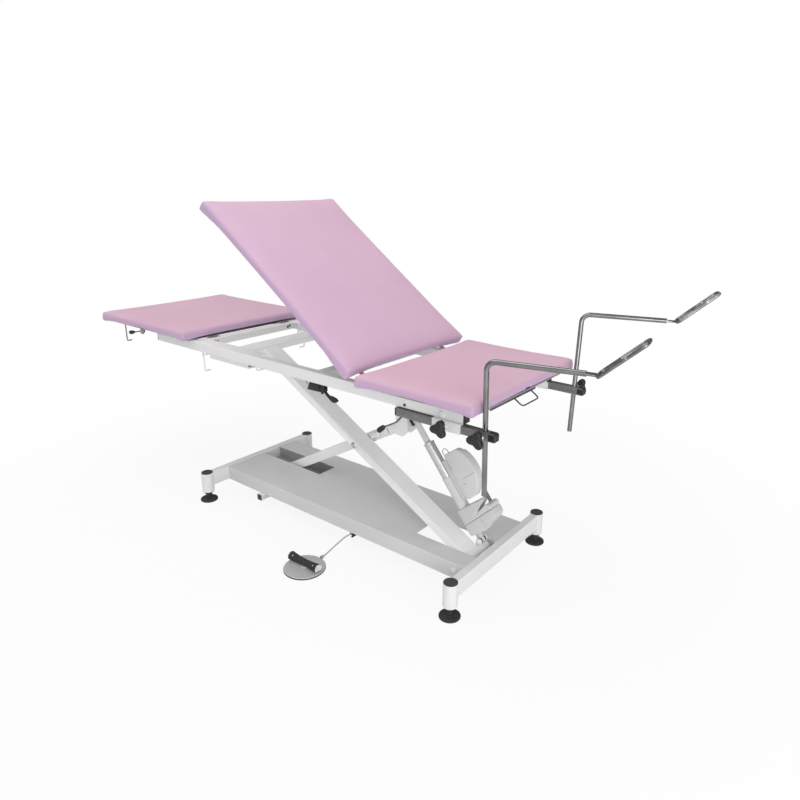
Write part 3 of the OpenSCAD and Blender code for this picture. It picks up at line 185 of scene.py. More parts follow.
def outlinePiece(name, outline, depth, place, soften=0, segments=2, smooth=35):
    # a flat outline in millimetres is pulled up by its depth
    deselectAll()
    bpy.ops.mesh.primitive_circle_add(vertices=len(outline), radius=0.01, fill_type="NGON")
    piece = startPiece(name)
    for vertex, (x, y) in zip(piece.data.vertices, outline):
        vertex.co = (x / 1000, y / 1000, 0)
    editAll(piece)
    bpy.ops.mesh.extrude_region_move(TRANSFORM_OT_translate={"value": (0, 0, depth / 1000)})
    backToObject()
    cleanShell(piece)
    if soften:
        softenEdges(piece, soften, segments)
    settle(piece, place)
    smoothPiece(piece, smooth)
    return piece


def roundedPath(points, bend, steps=8):
    # corners of a wire's path become arcs of the bend radius
    path = [Vector(points[0])]
    for a, b, c in zip(points, points[1:], points[2:]):
        a, b, c = Vector(a), Vector(b), Vector(c)
        into, out = (b - a).normalized(), (c - b).normalized()
        turn = into.angle(out)
        if turn < 0.02:
            path.append(b)
            continue
        cut = min(bend * math.tan(turn / 2), (b - a).length * 0.49, (c - b).length * 0.49)
        radius = cut / math.tan(turn / 2)
        side = (out - into * out.dot(into)).normalized()
        centre = b - into * cut + side * radius
        for k in range(steps + 1):
            angle = turn * k / steps
            path.append(centre - side * radius * math.cos(angle) + into * radius * math.sin(angle))
    path.append(Vector(points[-1]))
    return path


def tubeCurve(name, points, radius, roundness):
    # points and radius in metres; the curve's bevel is the tube's thickness
    curve = bpy.data.curves.new(name, "CURVE")
    curve.dimensions = "3D"
    curve.bevel_depth = radius
    curve.bevel_resolution = roundness
    curve.use_fill_caps = True
    line = curve.splines.new("POLY")
    line.points.add(len(points) - 1)
    for point, spot in zip(line.points, points):
        point.co = (*spot, 1)
    piece = bpy.data.objects.new(name, curve)
    bpy.context.scene.collection.objects.link(piece)
    return piece


def wirePiece(name, points, bend, radius, place):
    path = [spot / 1000 for spot in roundedPath(points, bend)]
    makeActive(tubeCurve(name, path, radius / 1000, 3))
    bpy.ops.object.convert(target="MESH")
    piece = startPiece(name)
    cleanShell(piece)
    settle(piece, place)
    smoothPiece(piece, 50)
    return piece


def joinPieces(name, pieces):
    deselectAll()
    for piece in pieces:
        piece.select_set(True)
    bpy.context.view_layer.objects.active = pieces[0]
    if len(pieces) > 1:
        bpy.ops.object.join()
    return startPiece(name)


def copyPiece(piece, name, shift):
    # shift in millimetres; every copy has a mesh of its own
    copy = piece.copy()
    copy.data = piece.data.copy()
    copy.name = name
    bpy.context.scene.collection.objects.link(copy)
    copy.data.transform(Matrix.Translation(Vector(shift) / 1000))
    return copy


def standing(place, yHigh):
    # an outline drawn in x and height is pulled towards -y from yHigh
    return place @ Matrix.Translation((0, yHigh / 1000, 0)) @ Matrix.Rotation(math.radians(90), 4, "X")


def ribbonPiece(name, route, thick, low, high, place, soften=0.6):
    # a flat strip bent along its route, seen from the side as x and height
    left, right = [], []
    for index, spot in enumerate(route):
        before = Vector(route[max(index - 1, 0)])
        after = Vector(route[min(index + 1, len(route) - 1)])
        along = (after - before).normalized()
        across = Vector((-along.y, along.x)) * thick / 2
        left.append(Vector(spot) + across)
        right.append(Vector(spot) - across)
    outline = [tuple(spot) for spot in left + right[::-1]]
    return outlinePiece(name, outline, high - low, standing(place, high), soften)


def paint(piece, material):
    piece.data.materials.clear()
    piece.data.materials.append(material)


def finishPiece(piece, material, slot, body, *replaced):
    paint(piece, material)
    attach(piece, body)
    if replaced:
        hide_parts(*replaced)
    return piece


# finishes: every look is clouds of two tones, small marks, uneven shine and a fine relief
surfaceSet = {"clouds": (0.32, 0.68), "shine": (0.3, 0.7), "shineScale": 40, "cellShare": 0.8, "bumpDistance": 0.0002}


def surface(name, look):
    material = bpy.data.materials.new(name)
    material.use_nodes = True
    tree = material.node_tree
    shader = tree.nodes["Principled BSDF"]
    place = tree.nodes.new("ShaderNodeTexCoord")
    mapping = tree.nodes.new("ShaderNodeMapping")
    mapping.inputs["Scale"].default_value = look.get("stretch", (1, 1, 1))
    tree.links.new(place.outputs["Object"], mapping.inputs["Vector"])

    def noise(scale, detail=4, rough=0.55):
        node = tree.nodes.new("ShaderNodeTexNoise")
        node.inputs["Scale"].default_value = scale
        node.inputs["Detail"].default_value = detail
        node.inputs["Roughness"].default_value = rough
        tree.links.new(mapping.outputs["Vector"], node.inputs["Vector"])
        return node

    def ramp(source, spots):
        node = tree.nodes.new("ShaderNodeValToRGB")
        for element, (where, color) in zip(node.color_ramp.elements, spots):
            element.position = where
            element.color = (*color, 1)
        tree.links.new(source, node.inputs["Fac"])
        return node.outputs["Color"]

    clouds = noise(look["cloudScale"], 5)
    colorOut = ramp(clouds.outputs["Fac"], zip(surfaceSet["clouds"], (look["colorA"], look["colorB"])))
    if "fleck" in look:  # small marks: rubbed spots, dust or scratches
        fleck = look["fleck"]
        marks = noise(fleck["scale"], 6, 0.7)
        mask = ramp(marks.outputs["Fac"], [(fleck["from"], (0, 0, 0)), (fleck["to"], (1, 1, 1))])
        mix = tree.nodes.new("ShaderNodeMix")
        mix.data_type = "RGBA"
        mix.inputs["B"].default_value = (*fleck["color"], 1)
        tree.links.new(mask, mix.inputs["Factor"])
        tree.links.new(colorOut, mix.inputs["A"])
        colorOut = mix.outputs["Result"]
    if "paintedSideShade" in look:  # painted shade: the cover is made cooler and darker down its sides and lower down
        shadeLayer = tree.nodes.new("ShaderNodeAttribute")
        shadeLayer.attribute_name = "paintedSideShade"
        shadeMix = tree.nodes.new("ShaderNodeMix")
        shadeMix.data_type = "RGBA"
        shadeMix.blend_type = "MULTIPLY"
        shadeMix.inputs["B"].default_value = (*look["paintedSideShade"], 1)
        tree.links.new(shadeLayer.outputs["Fac"], shadeMix.inputs["Factor"])
        tree.links.new(colorOut, shadeMix.inputs["A"])
        colorOut = shadeMix.outputs["Result"]
    tree.links.new(colorOut, shader.inputs["Base Color"])
    shine = noise(look.get("shineScale", surfaceSet["shineScale"]), 4)
    spread = tree.nodes.new("ShaderNodeMapRange")
    for socket, value in zip(("From Min", "From Max", "To Min", "To Max"), (*surfaceSet["shine"], *look["roughness"])):
        spread.inputs[socket].default_value = value
    tree.links.new(shine.outputs["Fac"], spread.inputs["Value"])
    tree.links.new(spread.outputs["Result"], shader.inputs["Roughness"])
    height = noise(look["bumpScale"], look.get("bumpDetail", 3)).outputs["Fac"]
    if "cells" in look:  # pressed leather grain
        cells = tree.nodes.new("ShaderNodeTexVoronoi")
        cells.feature = "SMOOTH_F1"
        cells.inputs["Scale"].default_value = look["cells"]
        tree.links.new(mapping.outputs["Vector"], cells.inputs["Vector"])
        both = tree.nodes.new("ShaderNodeMath")
        both.operation = "MULTIPLY_ADD"
        both.inputs[1].default_value = surfaceSet["cellShare"]
        tree.links.new(cells.outputs["Distance"], both.inputs[0])
        tree.links.new(height, both.inputs[2])
        height = both.outputs["Value"]
    bump = tree.nodes.new("ShaderNodeBump")
    bump.inputs["Strength"].default_value = look["bump"]
    bump.inputs["Distance"].default_value = look.get("bumpDistance", surfaceSet["bumpDistance"])
    tree.links.new(height, bump.inputs["Height"])
    tree.links.new(bump.outputs["Normal"], shader.inputs["Normal"])
    for socket, value in look.get("sockets", {}).items():
        shader.inputs[socket].default_value = value
    return material


whitePaint = surface("whitePaint", {
    "colorA": (0.835, 0.835, 0.835), "colorB": (0.87, 0.87, 0.87), "cloudScale": 5, "roughness": (0.34, 0.46),
    "shineScale": 25, "bumpScale": 900, "bump": 0.10, "bumpDistance": 0.0001,
    "fleck": {"scale": 60, "from": 0.70, "to": 0.80, "color": (0.76, 0.76, 0.75)},
    "sockets": {"Coat Weight": 0.2, "Coat Roughness": 0.25}})
# a lighter copy of the white paint for the arms and crosshead: painted light
armWhiteWithPaintedLight = surface("armWhiteWithPaintedLight", {
    "colorA": (0.90, 0.90, 0.90), "colorB": (0.93, 0.93, 0.93), "cloudScale": 5, "roughness": (0.30, 0.42),
    "shineScale": 25, "bumpScale": 900, "bump": 0.10, "bumpDistance": 0.0001,
    "fleck": {"scale": 60, "from": 0.70, "to": 0.80, "color": (0.82, 0.82, 0.81)},
    "sockets": {"Coat Weight": 0.25, "Coat Roughness": 0.2}})
# a darker copy of the white paint for the pan: painted shade where the couch shades it
panWhiteWithPaintedShade = surface("panWhiteWithPaintedShade", {
    "colorA": (0.66, 0.66, 0.66), "colorB": (0.72, 0.72, 0.72), "cloudScale": 3, "roughness": (0.42, 0.55),
    "shineScale": 18, "bumpScale": 700, "bump": 0.12, "bumpDistance": 0.0001,
    "fleck": {"scale": 45, "from": 0.68, "to": 0.80, "color": (0.60, 0.60, 0.59)},
    "sockets": {"Coat Weight": 0.12, "Coat Roughness": 0.3}})
trayPaint = surface("trayPaint", {
    "colorA": (0.42, 0.42, 0.42), "colorB": (0.50, 0.50, 0.50), "cloudScale": 12, "roughness": (0.4, 0.6),
    "bumpScale": 600, "bump": 0.2, "fleck": {"scale": 90, "from": 0.6, "to": 0.75, "color": (0.32, 0.32, 0.32)},
    "sockets": {"Metallic": 0.3}})
slidePaint = surface("slidePaint", {
    "colorA": (0.075, 0.075, 0.075), "colorB": (0.14, 0.14, 0.14), "cloudScale": 22, "roughness": (0.35, 0.55),
    "stretch": (0.4, 3, 1), "bumpScale": 500, "bump": 0.25,
    "fleck": {"scale": 60, "from": 0.56, "to": 0.72, "color": (0.36, 0.36, 0.36)}, "sockets": {"Metallic": 0.4}})
boardPaint = surface("boardPaint", {
    "colorA": (0.32, 0.32, 0.32), "colorB": (0.35, 0.35, 0.35), "cloudScale": 14, "roughness": (0.45, 0.6),
    "bumpScale": 500, "bump": 0.25, "fleck": {"scale": 70, "from": 0.62, "to": 0.75, "color": (0.27, 0.27, 0.27)}})
# the cover's cooler, darker tint down its sides and lower down is painted shade
upholstery = surface("upholstery", {
    "colorA": (0.635, 0.412, 0.525), "colorB": (0.685, 0.448, 0.56), "cloudScale": 3.2, "roughness": (0.44, 0.56),
    "shineScale": 9, "bumpScale": 420, "bumpDetail": 5, "cells": 700, "bump": 0.35, "bumpDistance": 0.00025,
    "fleck": {"scale": 260, "from": 0.55, "to": 0.85, "color": (0.60, 0.39, 0.50)}, "paintedSideShade": (0.86, 0.93, 1.10),
    "sockets": {"Sheen Weight": 0.35, "Sheen Roughness": 0.5, "Sheen Tint": (1.0, 0.70, 0.74, 1),
                "Specular IOR Level": 0.35}})
blackPlastic = surface("blackPlastic", {
    "colorA": (0.012, 0.012, 0.012), "colorB": (0.020, 0.020, 0.020), "cloudScale": 20, "roughness": (0.38, 0.52),
    "bumpScale": 1500, "bump": 0.25, "bumpDistance": 0.0001,
    "fleck": {"scale": 220, "from": 0.62, "to": 0.78, "color": (0.05, 0.05, 0.05)}})
rubber = surface("rubber", {
    "colorA": (0.022, 0.022, 0.022), "colorB": (0.034, 0.034, 0.034), "cloudScale": 30, "roughness": (0.55, 0.75),
    "bumpScale": 900, "bump": 0.35, "bumpDistance": 0.00015,
    "fleck": {"scale": 120, "from": 0.58, "to": 0.78, "color": (0.06, 0.06, 0.06)}})
greyPlastic = surface("greyPlastic", {
    "colorA": (0.64, 0.64, 0.64), "colorB": (0.70, 0.70, 0.70), "cloudScale": 14, "roughness": (0.42, 0.55),
    "bumpScale": 1400, "bump": 0.3, "bumpDistance": 0.0001,
    "fleck": {"scale": 160, "from": 0.66, "to": 0.8, "color": (0.58, 0.58, 0.58)}})
paleGreyPlastic = surface("paleGreyPlastic", {
    "colorA": (0.66, 0.66, 0.66), "colorB": (0.72, 0.72, 0.72), "cloudScale": 14, "roughness": (0.38, 0.5),
    "bumpScale": 1400, "bump": 0.25, "bumpDistance": 0.0001,
    "fleck": {"scale": 160, "from": 0.68, "to": 0.82, "color": (0.56, 0.56, 0.56)}})
chrome = surface("chrome", {
    "colorA": (0.23, 0.23, 0.23), "colorB": (0.31, 0.31, 0.31), "cloudScale": 16, "roughness": (0.14, 0.24),
    "shineScale": 60, "bumpScale": 300, "bump": 0.04,
    "fleck": {"scale": 120, "from": 0.62, "to": 0.8, "color": (0.22, 0.22, 0.22)}, "sockets": {"Metallic": 1.0}})
loopChrome = surface("loopChrome", {
    "colorA": (0.16, 0.16, 0.16), "colorB": (0.34, 0.34, 0.34), "cloudScale": 28, "roughness": (0.10, 0.22),
    "shineScale": 60, "bumpScale": 300, "bump": 0.06,
    "fleck": {"scale": 46, "from": 0.56, "to": 0.62, "color": (0.75, 0.75, 0.75)}, "sockets": {"Metallic": 1.0}})
zinc = surface("zinc", {
    "colorA": (0.55, 0.55, 0.55), "colorB": (0.70, 0.70, 0.70), "cloudScale": 60, "roughness": (0.25, 0.42),
    "bumpScale": 700, "bump": 0.15, "fleck": {"scale": 150, "from": 0.6, "to": 0.75, "color": (0.42, 0.42, 0.42)},
    "sockets": {"Metallic": 1.0}})
satinSteel = surface("satinSteel", {
    "colorA": (0.60, 0.60, 0.60), "colorB": (0.70, 0.70, 0.70), "cloudScale": 20, "roughness": (0.24, 0.34),
    "stretch": (1, 1, 0.15), "bumpScale": 900, "bump": 0.08,
    "fleck": {"scale": 90, "from": 0.62, "to": 0.8, "color": (0.5, 0.5, 0.5)}, "sockets": {"Metallic": 0.8}})
darkSteel = surface("darkSteel", {
    "colorA": (0.050, 0.050, 0.050), "colorB": (0.085, 0.085, 0.085), "cloudScale": 25, "roughness": (0.32, 0.5),
    "bumpScale": 800, "bump": 0.2, "fleck": {"scale": 80, "from": 0.6, "to": 0.75, "color": (0.17, 0.17, 0.17)},
    "sockets": {"Metallic": 0.5}})
barSteel = surface("barSteel", {
    "colorA": (0.17, 0.17, 0.17), "colorB": (0.25, 0.25, 0.25), "cloudScale": 18, "roughness": (0.32, 0.46),
    "stretch": (0.25, 2, 2), "bumpScale": 700, "bump": 0.15,
    "fleck": {"scale": 40, "from": 0.58, "to": 0.74, "color": (0.36, 0.36, 0.36)}, "sockets": {"Metallic": 0.45}})
brushedPlate = surface("brushedPlate", {
    "colorA": (0.55, 0.55, 0.55), "colorB": (0.63, 0.63, 0.63), "cloudScale": 30, "roughness": (0.36, 0.5),
    "stretch": (1, 14, 1), "bumpScale": 160, "bump": 0.15,
    "fleck": {"scale": 60, "from": 0.6, "to": 0.8, "color": (0.32, 0.32, 0.32)}, "sockets": {"Metallic": 0.35}})
cordRubber = surface("cordRubber", {
    "colorA": (0.34, 0.34, 0.34), "colorB": (0.42, 0.42, 0.42), "cloudScale": 40, "roughness": (0.4, 0.55),
    "bumpScale": 1200, "bump": 0.2, "fleck": {"scale": 180, "from": 0.62, "to": 0.8, "color": (0.28, 0.28, 0.28)}})
capPlastic = surface("capPlastic", {
    "colorA": (0.045, 0.045, 0.045), "colorB": (0.062, 0.062, 0.062), "cloudScale": 30, "roughness": (0.4, 0.55),
    "bumpScale": 1400, "bump": 0.2, "fleck": {"scale": 200, "from": 0.6, "to": 0.8, "color": (0.08, 0.08, 0.08)}})
wornSteel = surface("wornSteel", {
    "colorA": (0.07, 0.07, 0.07), "colorB": (0.19, 0.19, 0.19), "cloudScale": 60, "roughness": (0.32, 0.5),
    "bumpScale": 800, "bump": 0.3, "fleck": {"scale": 110, "from": 0.55, "to": 0.7, "color": (0.42, 0.42, 0.42)},
    "sockets": {"Metallic": 0.5}})
darkRubber = surface("darkRubber", {
    "colorA": (0.12, 0.12, 0.12), "colorB": (0.19, 0.19, 0.19), "cloudScale": 50, "roughness": (0.4, 0.55),
    "bumpScale": 1200, "bump": 0.2, "fleck": {"scale": 180, "from": 0.6, "to": 0.8, "color": (0.24, 0.24, 0.24)}})
paleMark = surface("paleMark", {
    "colorA": (0.45, 0.45, 0.45), "colorB": (0.55, 0.55, 0.55), "cloudScale": 60, "roughness": (0.4, 0.5),
    "bumpScale": 900, "bump": 0.1, "fleck": {"scale": 200, "from": 0.6, "to": 0.8, "color": (0.35, 0.35, 0.35)}})
print("finishes made")


# carried-over nodes: welded, with fine rounded edges of so many millimetres, in their own finish
dressSet = {"weld": 0.00001, "flatAngle": 0.5, "edgeAngle": 32}


def dressNode(name, material, edge):
    node = nodes[name]
    paint(node, material)
    weld = node.modifiers.new("Weld", "WELD")
    weld.merge_threshold = dressSet["weld"]
    if edge:
        flat = node.modifiers.new("Flat", "DECIMATE")
        flat.decimate_type = "DISSOLVE"
        flat.angle_limit = math.radians(dressSet["flatAngle"])
        bevel = node.modifiers.new("Bevel", "BEVEL")
        bevel.width = edge / 1000
        bevel.segments = 2
        bevel.limit_method = "ANGLE"
        bevel.angle_limit = math.radians(dressSet["edgeAngle"])
        bevel.harden_normals = True
    smoothPiece(node, dressSet["edgeAngle"])
    even = node.modifiers.new("Flat faces", "WEIGHTED_NORMAL")
    even.keep_sharp = True


dressing = {
    "corner_posts": (whitePaint, 0.8), "end_tubes": (whitePaint, 0), "base_pan": (panWhiteWithPaintedShade, 1.4),
    "pan_cross_tube": (whitePaint, 0), "roller_tray": (trayPaint, 0.5), "lower_pivot_pin": (whitePaint, 0.3),
    "cord_clip": (blackPlastic, 0.5), "main_arm": (armWhiteWithPaintedLight, 0), "upper_crosshead": (armWhiteWithPaintedLight, 0),
    "centre_pin": (zinc, 0.3), "upper_rollers": (greyPlastic, 0.5), "second_arm": (armWhiteWithPaintedLight, 0),
    "actuator_bracket": (whitePaint, 0.6), "lower_rollers": (greyPlastic, 0.5),
    "actuator_rings": (blackPlastic, 0.4), "actuator_rod_end": (paleGreyPlastic, 0.4),
    "side_rails": (whitePaint, 0), "rail_plugs": (blackPlastic, 0.6), "cross_tubes": (whitePaint, 0),
    "roller_tracks": (whitePaint, 0.5), "support_sleeves": (whitePaint, 0.6), "upper_pivot_pin": (whitePaint, 0.3),
    "seat_board": (boardPaint, 0.3), "rail_hooks": (whitePaint, 0), "head_hinge": (zinc, 0.3),
    "slide_tray": (slidePaint, 0.3), "back_frame": (boardPaint, 0.4), "gas_cylinder": (blackPlastic, 0.4),
    "gas_rod": (chrome, 0.3), "head_board": (boardPaint, 0.3), "head_lever": (blackPlastic, 0.3),
    "near_bar": (barSteel, 0.9), "far_bar": (barSteel, 0.9), "near_support": (chrome, 0), "far_support": (chrome, 0),
    "near_heel_loop": (loopChrome, 0), "far_heel_loop": (loopChrome, 0), "switch_plate": (brushedPlate, 0.4),
    "switch_relief": (cordRubber, 0.4), "switch_rocker": (rubber, 0.6), "rocker_end_caps": (paleGreyPlastic, 0.4),
}
for nodeName, (material, edge) in dressing.items():
    dressNode(nodeName, material, edge)
print("nodes dressed")

# foot switch's cord, from the relief on the plate to the clip under the pan
cordSet = {"route": [
    (50, -304, 9), (50, -290, 11), (51, -276, 16), (53, -262, 22), (56, -247, 29), (59, -232, 36),
    (63, -219, 43), (68, -208, 50), (75, -199, 56), (80, -193.5, 60), (82, -190.5, 61), (82, -187.5, 61)],
    "diameter": 5}


def addCord():
    points = [fromBase(*spot) for spot in cordSet["route"]]
    cord = tubeCurve("switchCord", points, cordSet["diameter"] / 2000, 5)
    finishPiece(cord, cordRubber, "grey_plastic", "base", "switch_cord")


addCord()

# cushions: the pad of each CAD form is swollen by cloth pressure under its cover
cushionSet = {"voxel": 0.0085, "pressure": 5.0, "frames": 18, "cap": 0.009, "stiff": 25, "bending": 1.5,
              "grow": 0.004, "rise": 0.002, "softSteps": 9, "flatBelow": 0.0015,
              "dip": 0.005, "cornerPower": 7, "wrap": 0.009, "rimFrom": 0.975, "rimOver": 0.015,
              "sideShare": 0.7, "lowShare": 0.6, "lowFrom": 0.3, "shadeMost": 1.2, "fill": 0.8}


def swellCushion(piece):
    rest = [vertex.co.copy() for vertex in piece.data.vertices]
    cloth = piece.modifiers.new("Cloth", "CLOTH")
    cloth.settings.use_pressure = True
    cloth.settings.uniform_pressure_force = cushionSet["pressure"]
    cloth.settings.effector_weights.gravity = 0
    cloth.settings.quality = 4
    cloth.settings.tension_stiffness = cushionSet["stiff"]
    cloth.settings.compression_stiffness = cushionSet["stiff"]
    cloth.settings.bending_stiffness = cushionSet["bending"]
    cloth.point_cache.frame_start = 1
    cloth.point_cache.frame_end = cushionSet["frames"]
    for step in range(1, cushionSet["frames"] + 1):
        bpy.context.scene.frame_set(step)
    swollen = piece.evaluated_get(bpy.context.evaluated_depsgraph_get())
    moved = [vertex.co.copy() for vertex in swollen.data.vertices]
    piece.modifiers.remove(cloth)
    bpy.context.scene.frame_set(1)
    for vertex, start, end in zip(piece.data.vertices, rest, moved):
        step = end - start
        if step.length > cushionSet["cap"]:
            step = step.normalized() * cushionSet["cap"]
        vertex.co = start + step


def cornerBox(piece):
    spots = [vertex.co for vertex in piece.data.vertices]
    return (Vector([min(spot[axis] for spot in spots) for axis in range(3)]),
            Vector([max(spot[axis] for spot in spots) for axis in range(3)]))


def fitCushion(piece, low, high):
    # the swollen pad is brought back to its real size, with a little fullness
    nowLow, nowHigh = cornerBox(piece)
    grow = Vector((cushionSet["grow"], cushionSet["grow"], 0))
    low, high = low - grow, high + grow + Vector((0, 0, cushionSet["rise"]))
    for vertex in piece.data.vertices:
        share = [(vertex.co[k] - nowLow[k]) / (nowHigh[k] - nowLow[k]) for k in range(3)]
        vertex.co = [low[k] + share[k] * (high[k] - low[k]) for k in range(3)]


def softenTop(piece, low, high):
    # the cover is rounder above than at the board
    group = piece.vertex_groups.new(name="upper")
    for vertex in piece.data.vertices:
        share = (vertex.co.z - low.z) / (high.z - low.z)
        group.add([vertex.index], min(1, max(0.05, share * 1.5 - 0.2)), "REPLACE")
    applyModifier(piece, "SMOOTH", factor=0.5, iterations=cushionSet["softSteps"], vertex_group="upper")
    piece.vertex_groups.clear()


def seatOnBoard(piece, low, high):
    # flat on its board, wrapped over the board's edge and drawn down where it's folded at the corners
    middle, half = (low + high) / 2, (high - low) / 2
    for vertex in piece.data.vertices:
        if vertex.co.z < low.z + cushionSet["flatBelow"]:
            vertex.co.z = low.z
        across = abs(vertex.co.x - middle.x) / half.x
        along = abs(vertex.co.y - middle.y) / half.y
        corner = min(1, (across * along) ** cushionSet["cornerPower"] * 1.6)
        rim = min(1, max(0, (max(across, along) - cushionSet["rimFrom"]) / cushionSet["rimOver"]))
        below = max(0, 1 - (vertex.co.z - low.z) / half.z)
        vertex.co.z -= (cushionSet["dip"] * corner + cushionSet["wrap"] * rim) * below


def paintShadeOnCover(piece, low, high, extraShade):
    # painted shade down the cover's sides and lower down, read by its material as a cooler, darker tone
    shadeLayer = piece.data.attributes.new("paintedSideShade", "FLOAT", "POINT")
    for vertex, value in zip(piece.data.vertices, shadeLayer.data):
        side = cushionSet["sideShare"] * (1 - max(0, vertex.normal.z))
        down = (high.z - vertex.co.z) / (high.z - low.z)
        below = cushionSet["lowShare"] * max(0, down - cushionSet["lowFrom"])
        value.value = min(cushionSet["shadeMost"], max(0, side + below + extraShade))


def addCushion(name, source, body, turn, hinge, extraShade):
    piece = bpy.data.objects.new(name, nodes[source].data.copy())
    bpy.context.scene.collection.objects.link(piece)
    flatten = Matrix.Rotation(math.radians(-turn), 4, "Y") @ Matrix.Translation(-hinge)
    piece.data.transform(flatten)
    cleanShell(piece)
    low, high = cornerBox(piece)
    applyModifier(piece, "REMESH", mode="VOXEL", voxel_size=cushionSet["voxel"])
    swellCushion(piece)
    softenTop(piece, low, high)
    fitCushion(piece, low, high)
    seatOnBoard(piece, low, high)
    applyModifier(piece, "SUBSURF", levels=1, render_levels=1)
    paintShadeOnCover(piece, low, high, extraShade)
    piece.data.transform(flatten.inverted())
    smoothPiece(piece, 70)
    finishPiece(piece, upholstery, "upholstery", body, source)
    print(name, "made,", len(piece.data.polygons), "faces")


cushions = [  # name, node, body, tilt at rest, hinge, extra painted shade
    ("seatCushion", "seat_cushion", "upper_frame", 0, Vector((0, 0, 0)), 0.0),
    ("backCushion", "back_cushion", "back", 35.7, fromBase(218, 0, 704.23), 0.4),
    ("headCushion", "head_cushion", "head", 0, Vector((0, 0, 0)), 0.12)]
for cushion in cushions:
    addCushion(*cushion)

base = placeAt(0, 0, 0)

# clamping knobs: three lobes on a hub with its threaded stud
knobSet = {"axleHeight": 649.03, "radius": 23, "lobe": 6.2, "lobes": 3, "steps": 72, "seat": 4, "height": 19, "soft": 5,
           "turn": 50, "thread": (4, 3.5),
           "hub": [(0, 11), (0.6, 12.5), (2, 14.5), (4, 15.6), (6, 15.6)],
           "cap": [(22, 9.5), (23.6, 9.5), (24.3, 8.8), (24.6, 6), (24.7, 1)],
           "washer": [(-12, 7), (-12, 10), (-11, 11), (-8, 11), (-7, 10), (-6, 8), (-1, 8), (-0.4, 7.4), (-0.4, 5)],
           "knobs": [  # name, node and body, place, side, stud
               ("nearSleeveKnob", "near_sleeve_knob", (571, -310.7), 1, 18),
               ("farSleeveKnob", "far_sleeve_knob", (571, 310.7), -1, 18),
               ("nearBarKnob", "near_bar_knob", (701, -314), 1, 27),
               ("farBarKnob", "far_bar_knob", (718, 314), -1, 27)]}


def addKnob(name, node, spot, side, stud):
    place = placeAt(*spot, knobSet["axleHeight"], 90 * side, knobSet["turn"])
    outline = []
    for k in range(knobSet["steps"]):
        angle = math.tau * k / knobSet["steps"]
        r = knobSet["radius"] + knobSet["lobe"] * math.cos(knobSet["lobes"] * angle)
        outline.append((r * math.cos(angle), r * math.sin(angle)))
    seat = place @ Matrix.Translation((0, 0, knobSet["seat"] / 1000))
    body = outlinePiece(name + "Lobes", outline, knobSet["height"], seat, knobSet["soft"], 4, 50)
    hub = turnedPiece(name + "Hub", knobSet["hub"], place)
    cap = turnedPiece(name + "Cap", knobSet["cap"], place)
    finishPiece(joinPieces(name, [body, hub, cap]), blackPlastic, "black_plastic", node, node)
    crest, root = knobSet["thread"]
    thread = [(-stud, 2), (-stud + 1, crest)]
    for k in range(stud - 2):
        thread += [(-stud + 1.2 + k, crest), (-stud + 1.6 + k, root)]
    screw = turnedPiece(name + "Stud", thread + [(1, crest)], place, 32)
    washer = turnedPiece(name + "Washer", knobSet["washer"], place, 40)
    finishPiece(joinPieces(name + "Screw", [screw, washer]), zinc, "chrome", node)


for knob in knobSet["knobs"]:
    addKnob(*knob)

# rubber feet and post caps
footSet = {"x": (-668, 607), "y": (-289, 289),
           "foot": [(0, 28), (0, 34.2), (0.6, 35.4), (1.6, 36), (5.2, 36), (6.6, 35.4), (7.8, 34), (9.8, 28),
                    (11.4, 21), (12.2, 19), (12.4, 18), (14, 17.6), (14.6, 17), (15, 12), (17, 11.2), (30, 11),
                    (33.4, 12), (34.4, 18.6), (35.4, 19.6), (41, 19.6), (42, 18.8), (42.4, 11)],
           "cap": [(126.4, 20), (126.8, 23.4), (128.9, 23.7), (129.8, 23.2), (130.3, 21.6), (130.5, 17), (130.6, 8)],
           "nut": [(24, 8), (26, 8), (26, 14), (26.5, 14.6), (31.5, 14.6), (32, 14), (32, 8)],
           "plug": 3, "plugSoft": 1.2}


def addFeet():
    feet, caps, nuts = [], [], []
    for x in footSet["x"]:
        for y in footSet["y"]:
            place = placeAt(x, y, 0)
            feet.append(turnedPiece("foot", footSet["foot"], place, 64, 28))
            caps.append(turnedPiece("cap", footSet["cap"], place, 64, 40))
            nuts.append(turnedPiece("footNut", footSet["nut"], place, 6, 30))
    low, high = [corner * 1000 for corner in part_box("pan_cross_tube")]
    for y in (low.y - footSet["plug"], high.y):
        caps.append(blockPiece("tubePlug", (low.x, y, low.z), (high.x, y + footSet["plug"], high.z),
                               footSet["plugSoft"], Matrix()))
    finishPiece(joinPieces("rubberFeet", feet), rubber, "black_plastic", "base", "levelling_feet")
    finishPiece(joinPieces("postCaps", caps), capPlastic, "black_plastic", "base", "base_caps")
    finishPiece(joinPieces("footNuts", nuts), blackPlastic, "black_plastic", "base")


addFeet()

